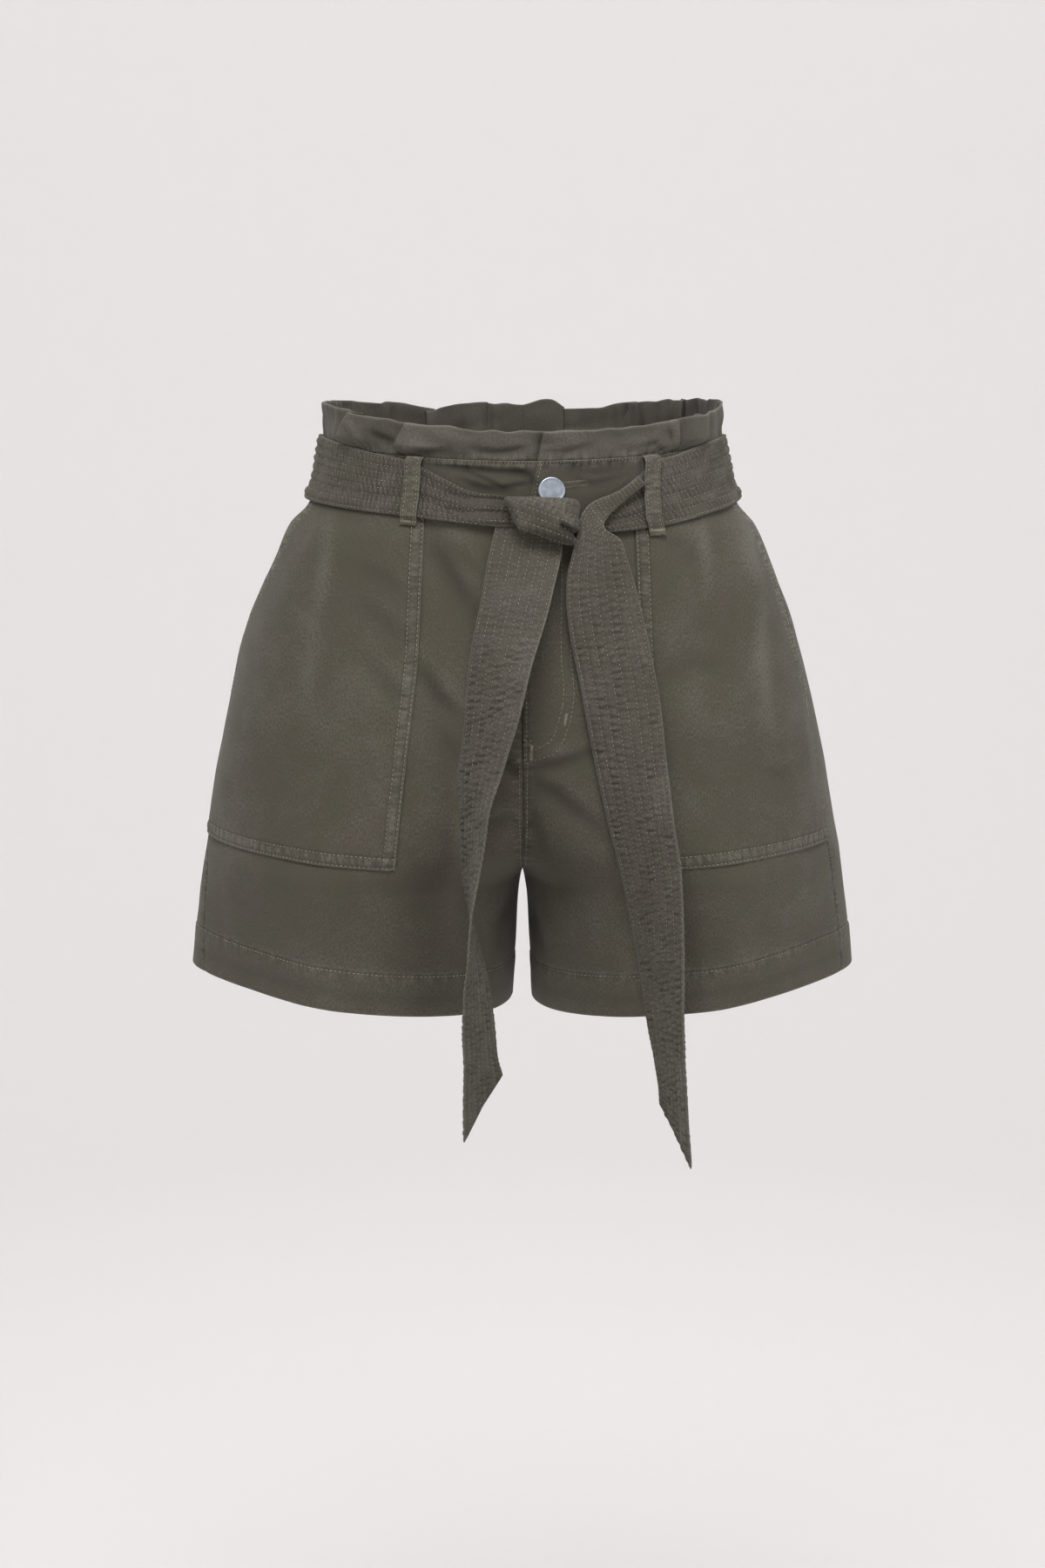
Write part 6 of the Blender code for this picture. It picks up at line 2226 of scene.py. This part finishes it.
@dataclass
class Knot:
    """The wrap of the tied belt at the front."""

    cut: Cut
    back: float = -104.6 * MM
    sink: float = 3.0 * MM
    squareness: float = 0.75
    around: int = 120
    sections: int = 90
    channel: float = 4.4 * MM
    slope: float = math.radians(20)

    def rounded(self, wave: Array) -> Array:
        """A wave of the knot's section, squared off."""
        return np.sign(wave) * np.abs(wave) ** self.squareness

    def make(self, shop: Workshop) -> None:
        """Builds the knot.

        Args:
            shop: the workshop.
        """
        at = np.linspace(0, len(KNOT_STATIONS) - 1, self.sections)
        read = {name: np.interp(at, *self.dense(name))[:, None] for name in KnotStation._fields}
        angle = 2 * math.pi * np.arange(self.around) / self.around
        up, front = self.rounded(np.cos(angle)), self.rounded(np.sin(angle))
        share, visible = ((1 - up) / 2)[None, :], ease(-0.2, 0.3, front)[None, :]
        x, z = (mix(read[f"{axis}_top"], read[f"{axis}_bottom"], share) for axis in "xz")
        y = self.back - (read["depth"] + self.sink) * (1 + front[None, :]) / 2
        base = np.stack([x, y, z], axis=-1)
        out = grid_facing(base, base.mean(axis=1, keepdims=True) + 0 * base)
        relief, tone = self.relief(x, z)
        rings = base + out * (relief * visible)[..., None]
        # Paler on the relief's crests, partly worn and partly painted highlight.
        wear = np.clip((relief + 0.2 * MM) / (0.6 * MM), 0, 1) ** 2 * 0.3
        places = np.stack([lengths(base, 0), lengths(base, 1)], axis=-1)
        layers = {"wear": wear * visible, "tone": tone * visible, "gather": 0.3 * visible + 0 * wear}
        piece = loft("belt_knot_cloth", rings, places, layers)
        sewing, resting = self.sew(shop, rings), ["belt_band_cloth"]
        shop.hand_over(piece, "belt_knot", shop.finishes.belt, sewing)

    def dense(self, name: str) -> tuple[Array, Array]:
        """A smooth curve through one column of the stations."""
        values = np.array([getattr(row, name) for row in KNOT_STATIONS])
        line = smooth_line(np.stack([np.arange(len(values)) * 1.0, values * 1000], axis=1), 0.02)
        return line[:, 0], line[:, 1] / 1000

    def relief(self, x: Array, z: Array) -> tuple[Array, Array]:
        """Quilted channels that run down to the right, a deep fold and soft dents, with painted shade: dark
        in the fold, darker towards the lower edge, and a little darker all over.
        """
        across = (z + x * math.tan(self.slope)) * math.cos(self.slope)
        along = x * math.cos(self.slope) - z * math.sin(self.slope)
        part = (across / self.channel) % 1.0
        waves = np.sin(2 * math.pi * along / (4.2 * MM) + 2 * wander(across, 4.4 * MM, 51))
        apart = nearest(((0.0236, -0.0218), (0.0290, -0.0250), (0.0345, -0.0288)), x, z).apart
        relief = 0.42 * MM * (np.abs(np.sin(math.pi * part)) ** 0.7 - 1) + 0.28 * MM * waves
        relief = relief - 3.4 * MM * hump(apart, 0, 2.0 * MM) + 0.55 * MM * mottle(x, z, 12 * MM, 52)
        # Painted shade: dark in the deep fold, darker towards the lower edge, and a little darker all over.
        return relief, -0.95 * hump(apart, 0, 2.2 * MM) - 0.5 * ease(-0.019, -0.030, z) - 0.2

    def sew(self, shop: Workshop, rings: Array) -> list[bpy.types.Object]:
        """Stitches along the channels that show."""
        across, quads, rows = np.arange(-9 * MM, 33 * MM, 0.6 * MM), ring_quads(rings), []
        for k in range(-7, 2):
            height = k * self.channel / math.cos(self.slope) - across * math.tan(self.slope)
            rows.append(dropped(rings, quads, np.stack([across, height], axis=-1), 0.35))
        return [shop.quilter().sew("belt_knot_stitches", [row for row in rows if len(row.points) > 6], 14)]


@dataclass
class BeltLoop:
    """A belt loop: sewn to the waistband's top, over the belt, and sewn again below it."""

    number: int
    loop: Loop
    cut: Cut
    band: BeltBand
    width: float = 10.5 * MM
    bow: float = 0.3 * MM
    row_inset: float = 1.9 * MM
    sections: int = 72

    def make(self, shop: Workshop) -> None:
        """Builds the loop, its two rows and its bartacks.

        Args:
            shop: the workshop.
        """
        loop, name = self.loop, f"belt_loop_{self.number}"
        over = BELT_LIFT + BELT_CLOTH - 0.5 * MM + LOOP_CLOTH / 2
        seat = SEAM_GAP + LOOP_CLOTH / 2
        foot = seat + (POCKET_LIFT + CLOTH if abs(loop.top_turn) < 90 else 0.0)
        way = np.array([
            (loop.top + 0.2 * MM, seat - 0.3 * MM), (loop.top, seat),
            (loop.top - 0.8 * MM, mix(seat, over, 0.3)), (loop.top - 1.8 * MM, over),
            *((mix(loop.top, loop.bottom, share), over + self.bow) for share in (0.30, 0.55, 0.75)),
            (loop.bottom + 5.2 * MM, over), (loop.bottom + 3.6 * MM, mix(foot, over, 0.5)),
            (loop.bottom + 2.4 * MM, foot), (loop.bottom, foot),
        ])
        line = smooth_line(way, 0.5 * MM)
        marks = lengths(line, 0)
        even = np.linspace(0, marks[-1], self.sections)
        z, lift = np.interp(even, marks, line[:, 0]), np.interp(even, marks, line[:, 1])
        around = mix(loop.top_turn, loop.bottom_turn, (loop.top - z) / (loop.top - loop.bottom))
        flare = np.where(lift >= mix(foot, over, 0.5), self.band.over_pocket(around, z), 0.0)
        middle, _ = FORM.ring(around, z, lift + averaged(flare, 3))
        sideways = unit(FORM.ring(around + 1.0, z)[0] - FORM.ring(around - 1.0, z)[0])
        outwards = unit(np.cross(sideways, np.gradient(middle, axis=0)))
        straight = np.stack([np.sin(np.radians(around)), -np.cos(np.radians(around)), 0 * around], axis=-1)
        outwards = np.where(np.sum(outwards * straight, axis=1, keepdims=True) < 0, -outwards, outwards)
        half = self.width / 2
        spread = np.array([0.22, 0.45, 0.64, 0.8, 0.93, 0.985, 1])
        spread = np.concatenate([-spread[::-1], [0], spread])
        from_edge, length, thick = ((1 - np.abs(spread)) * half)[None, :], lengths(middle, 0), LOOP_CLOTH / 2
        relief = furrow(from_edge, self.row_inset, 0.6 * MM, 0.26 * MM) + 0.18 * MM * np.cos(spread * 1.4)
        seed = 60 + self.number
        relief = relief + ladder(length[:, None], from_edge, 2.6 * MM, 3 * MM, 3.6 * MM, 0.14 * MM, seed)
        ends = np.minimum(length, length[-1] - length)[:, None]
        draw = rounding(np.minimum(from_edge, ends + 0.2 * MM), LOOP_CLOTH)
        top = middle[:, None] + sideways[:, None] * (spread * half)[None, :, None]
        front = top + outwards[:, None] * (thick + relief - draw)[..., None]
        behind = [0, 3, 7, 11, 14]
        back = top[:, behind] - outwards[:, None] * (thick - draw[:, behind])[..., None]
        wear = 0.5 * hump(from_edge, 0, 0.6 * MM) + 0.15 * hump(from_edge, 3.6 * MM, 1.2 * MM) + 0 * draw
        # Painted shade in the rows' furrows.
        tone = -0.25 * hump(from_edge, self.row_inset, 0.6 * MM) + 0 * draw
        piece = Strap(front, back, (wear, tone), length, 0.7).build(f"{name}_cloth")
        inset = 1 - self.row_inset / half
        rows = [Row(self.line(front, spread, sign * inset), outwards[2:-2]) for sign in (-1, 1)]
        ends = [(front[index, 2:-2], outwards[index]) for index in (3, len(middle) - 5)]
        bars = [Row(across, np.broadcast_to(facing, across.shape)) for across, facing in ends]
        sewing = [
            shop.seamstress(pitch=2.5 * MM, stitch=1.8 * MM).sew(f"{name}_stitches", rows, 15),
            shop.bar_tacker().sew(f"{name}_bartacks", bars, 16),
        ]
        shop.hand_over(piece, name, shop.finishes.twill, sewing)

    @staticmethod
    def line(front: Array, spread: Array, at: float) -> Array:
        """A line down the loop at one place across it."""
        return np.array([[np.interp(at, spread, line) for line in section.T] for section in front[2:-2]])


@dataclass
class Button:
    """A turned metal button with a low rim."""

    radius: float = 8.1 * MM
    thick: float = 2.6 * MM
    turn: float = 7.3
    height: float = 1.4 * MM
    sides: int = 96
    profile: tuple[tuple[float, float], ...] = (
        (0.30, 0.0), (0.93, 0.0), (0.975, 0.08), (1.0, 0.3), (1.0, 0.62), (0.985, 0.78),
        (0.955, 0.88), (0.915, 0.925), (0.875, 0.925), (0.845, 0.905), (0.82, 0.885), (0.79, 0.88),
        (0.6, 0.895), (0.3, 0.90),
    )

    def make(self, shop: Workshop) -> None:
        """Builds the button.

        Args:
            shop: the workshop.
        """
        z, around = np.array([self.height]), np.array([self.turn])
        seat, out = (values[0] for values in FORM.ring(around, z, 0.45 * MM))
        across = unit(np.cross(np.array([0.0, 0.0, 1.0]), out))
        upright = np.cross(out, across)
        angle = 2 * math.pi * np.arange(self.sides) / self.sides
        way = np.cos(angle)[:, None] * across + np.sin(angle)[:, None] * upright
        rings = np.array([seat + way * (r * self.radius) + out * (h * self.thick) for r, h in self.profile])
        blank = np.zeros(rings.shape[:2])
        places = np.stack([blank, blank], axis=-1)
        piece = loft("waist_button", rings, places, {"wear": blank})
        piece.data.set_sharp_from_angle(angle=math.radians(50))
        shop.hand_over(piece, "button", shop.finishes.metal)


# ---- the studio


@dataclass
class Studio:
    """A plain pale studio, soft light and the camera."""

    floor_height: float = -1.15
    floor_radius: float = 2.4
    bend: float = 1.6
    wall_height: float = 3.7
    target: tuple[float, float, float] = (0.0, 0.0, -0.196)
    distance: float = 2.0
    elevation: float = 10.0
    lens: float = 72.73
    paper: tuple[float, float, float] = (0.80, 0.779, 0.777)
    lights: tuple[tuple[str, tuple[float, float, float], float, float], ...] = (
        ("key", (-0.12, -1.6, 2.1), 1.2, 52.0), ("left_fill", (-2.0, -1.7, 0.2), 1.8, 5.0),
        ("right_fill", (2.0, -1.7, 0.5), 1.8, 14.0), ("top", (0.1, 0.7, 2.2), 1.8, 18.0),
    )

    def make(self) -> None:
        """Builds the bowl, the lights and the camera."""
        self.make_bowl()
        for name, place, size, power in self.lights:
            self.make_light(name, place, size, power, self.target)
        self.make_light("backdrop", (0.0, 1.0, 2.2), 2.4, 43.0, (0.0, 3.4, 0.9))
        world = bpy.data.worlds.new("studio")
        world.use_nodes = True
        inputs = world.node_tree.nodes["Background"].inputs
        inputs["Color"].default_value = (1.0, 0.995, 0.99, 1.0)
        inputs["Strength"].default_value = 0.34
        bpy.context.scene.world = world
        bpy.context.scene.view_settings.view_transform = "Standard"
        self.make_camera()

    def make_bowl(self) -> None:
        """A round floor that curves up into a wall on every side."""
        angle = np.radians(np.linspace(0, 90, 16))
        radius = self.floor_radius + self.bend * np.sin(angle)
        radius = np.concatenate([[0.01, 0.8], radius, radius[-1:]])
        height = [[0.0, 0.0], self.bend * (1 - np.cos(angle)), [self.wall_height]]
        height = self.floor_height + np.concatenate(height)
        around = 2 * math.pi * np.arange(96) / 96
        around = radius[:, None] * np.cos(around), radius[:, None] * np.sin(around)
        rings = np.stack([*around, height[:, None] + 0 * around[0]], axis=-1)
        mesh = bpy.data.meshes.new("studio_bowl")
        middle = list(range(95, -1, -1))
        mesh.from_pydata(rings.reshape(-1, 3).tolist(), [], ring_quads(rings).tolist() + [middle])
        mesh.shade_smooth()
        paper, _, shader = start_material("studio_paper")
        shader.inputs["Base Color"].default_value = (*self.paper, 1.0)
        shader.inputs["Roughness"].default_value = 0.95
        shader.inputs["Specular IOR Level"].default_value = 0.1
        mesh.materials.append(paper)
        bowl = bpy.data.objects.new("studio_bowl", mesh)
        bpy.context.scene.collection.objects.link(bowl)

    @staticmethod
    def make_light(
        name: str, place: Sequence[float], size: float, power: float, aim: Sequence[float]
    ) -> None:
        """Adds one soft square light that faces a place."""
        data = bpy.data.lights.new(name, "AREA")
        data.shape = "SQUARE"
        data.size = size
        data.energy = power
        light = bpy.data.objects.new(name, data)
        light.location = place
        light.rotation_euler = (Vector(place) - Vector(aim)).to_track_quat("Z", "Y").to_euler()
        bpy.context.scene.collection.objects.link(light)

    def make_camera(self) -> None:
        """Adds the camera at the photograph's angle."""
        data = bpy.data.cameras.new("camera")
        data.sensor_width = 36.0
        data.lens = self.lens
        data.clip_end = 20.0
        camera = bpy.data.objects.new("camera", data)
        rise = math.radians(self.elevation)
        way = Vector((0.0, -math.cos(rise), math.sin(rise)))
        camera.location = Vector(self.target) + way * self.distance
        camera.rotation_euler = way.to_track_quat("Z", "Y").to_euler()
        bpy.context.scene.collection.objects.link(camera)
        bpy.context.scene.camera = camera


# ---- the shorts


def corners(box: object) -> list[list[float]]:
    """A box's two corners as plain numbers."""
    return [[float(value) for value in corner] for corner in box]


def main() -> None:
    """Builds the shorts and the studio."""
    logging.basicConfig(level=logging.INFO, format="%(name)s: %(message)s")
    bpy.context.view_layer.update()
    shop = Workshop()
    panel_cuts = {
        Face.FRONT: Cut(0.300, 0.330, Hold.HUNG, 0.0800), Face.BACK: Cut(0.320, 0.330, Hold.HUNG, 0.0860),
    }
    left, right = WaistHalf(Side.LEFT), WaistHalf(Side.RIGHT)
    for side in Side:
        for face, cut in panel_cuts.items():
            LegPanel(side, face, cut).make(shop)
        PatchPocket(side, Cut(0.165, 0.225, Hold.HUNG, 0.0300)).make(shop)
    for half in (left, right):
        Waistband(half, Cut(0.36, 0.035, Hold.STRETCHED)).make(shop)
        Frill(half, Cut(0.47 if half is left else 0.52, 0.019, Hold.GATHERED)).make(shop)
    band = BeltBand(Cut(0.700, 0.038, Hold.STRETCHED))
    band.make(shop)
    Knot(Cut(0.040, 0.045, Hold.FOLDED)).make(shop)
    Tail(Side.RIGHT, RIGHT_TAIL, Cut(0.370, 0.045, Hold.HUNG)).make(shop)
    Tail(Side.LEFT, LEFT_TAIL, Cut(0.430, 0.045, Hold.HUNG)).make(shop)
    for number, loop in enumerate(LOOPS, start=1):
        BeltLoop(number, loop, Cut(0.048, 0.0105, Hold.STRETCHED), band).make(shop)
    Button().make(shop)
    Studio().make()
    total = sum(
        len(face.vertices) - 2
        for thing in bpy.data.objects
        if thing.type == "MESH" and not thing.hide_render
        for face in thing.data.polygons
    )
    log.info("%d triangles in all", total)
    bpy.context.view_layer.update()


if __name__ == "__main__":
    main()
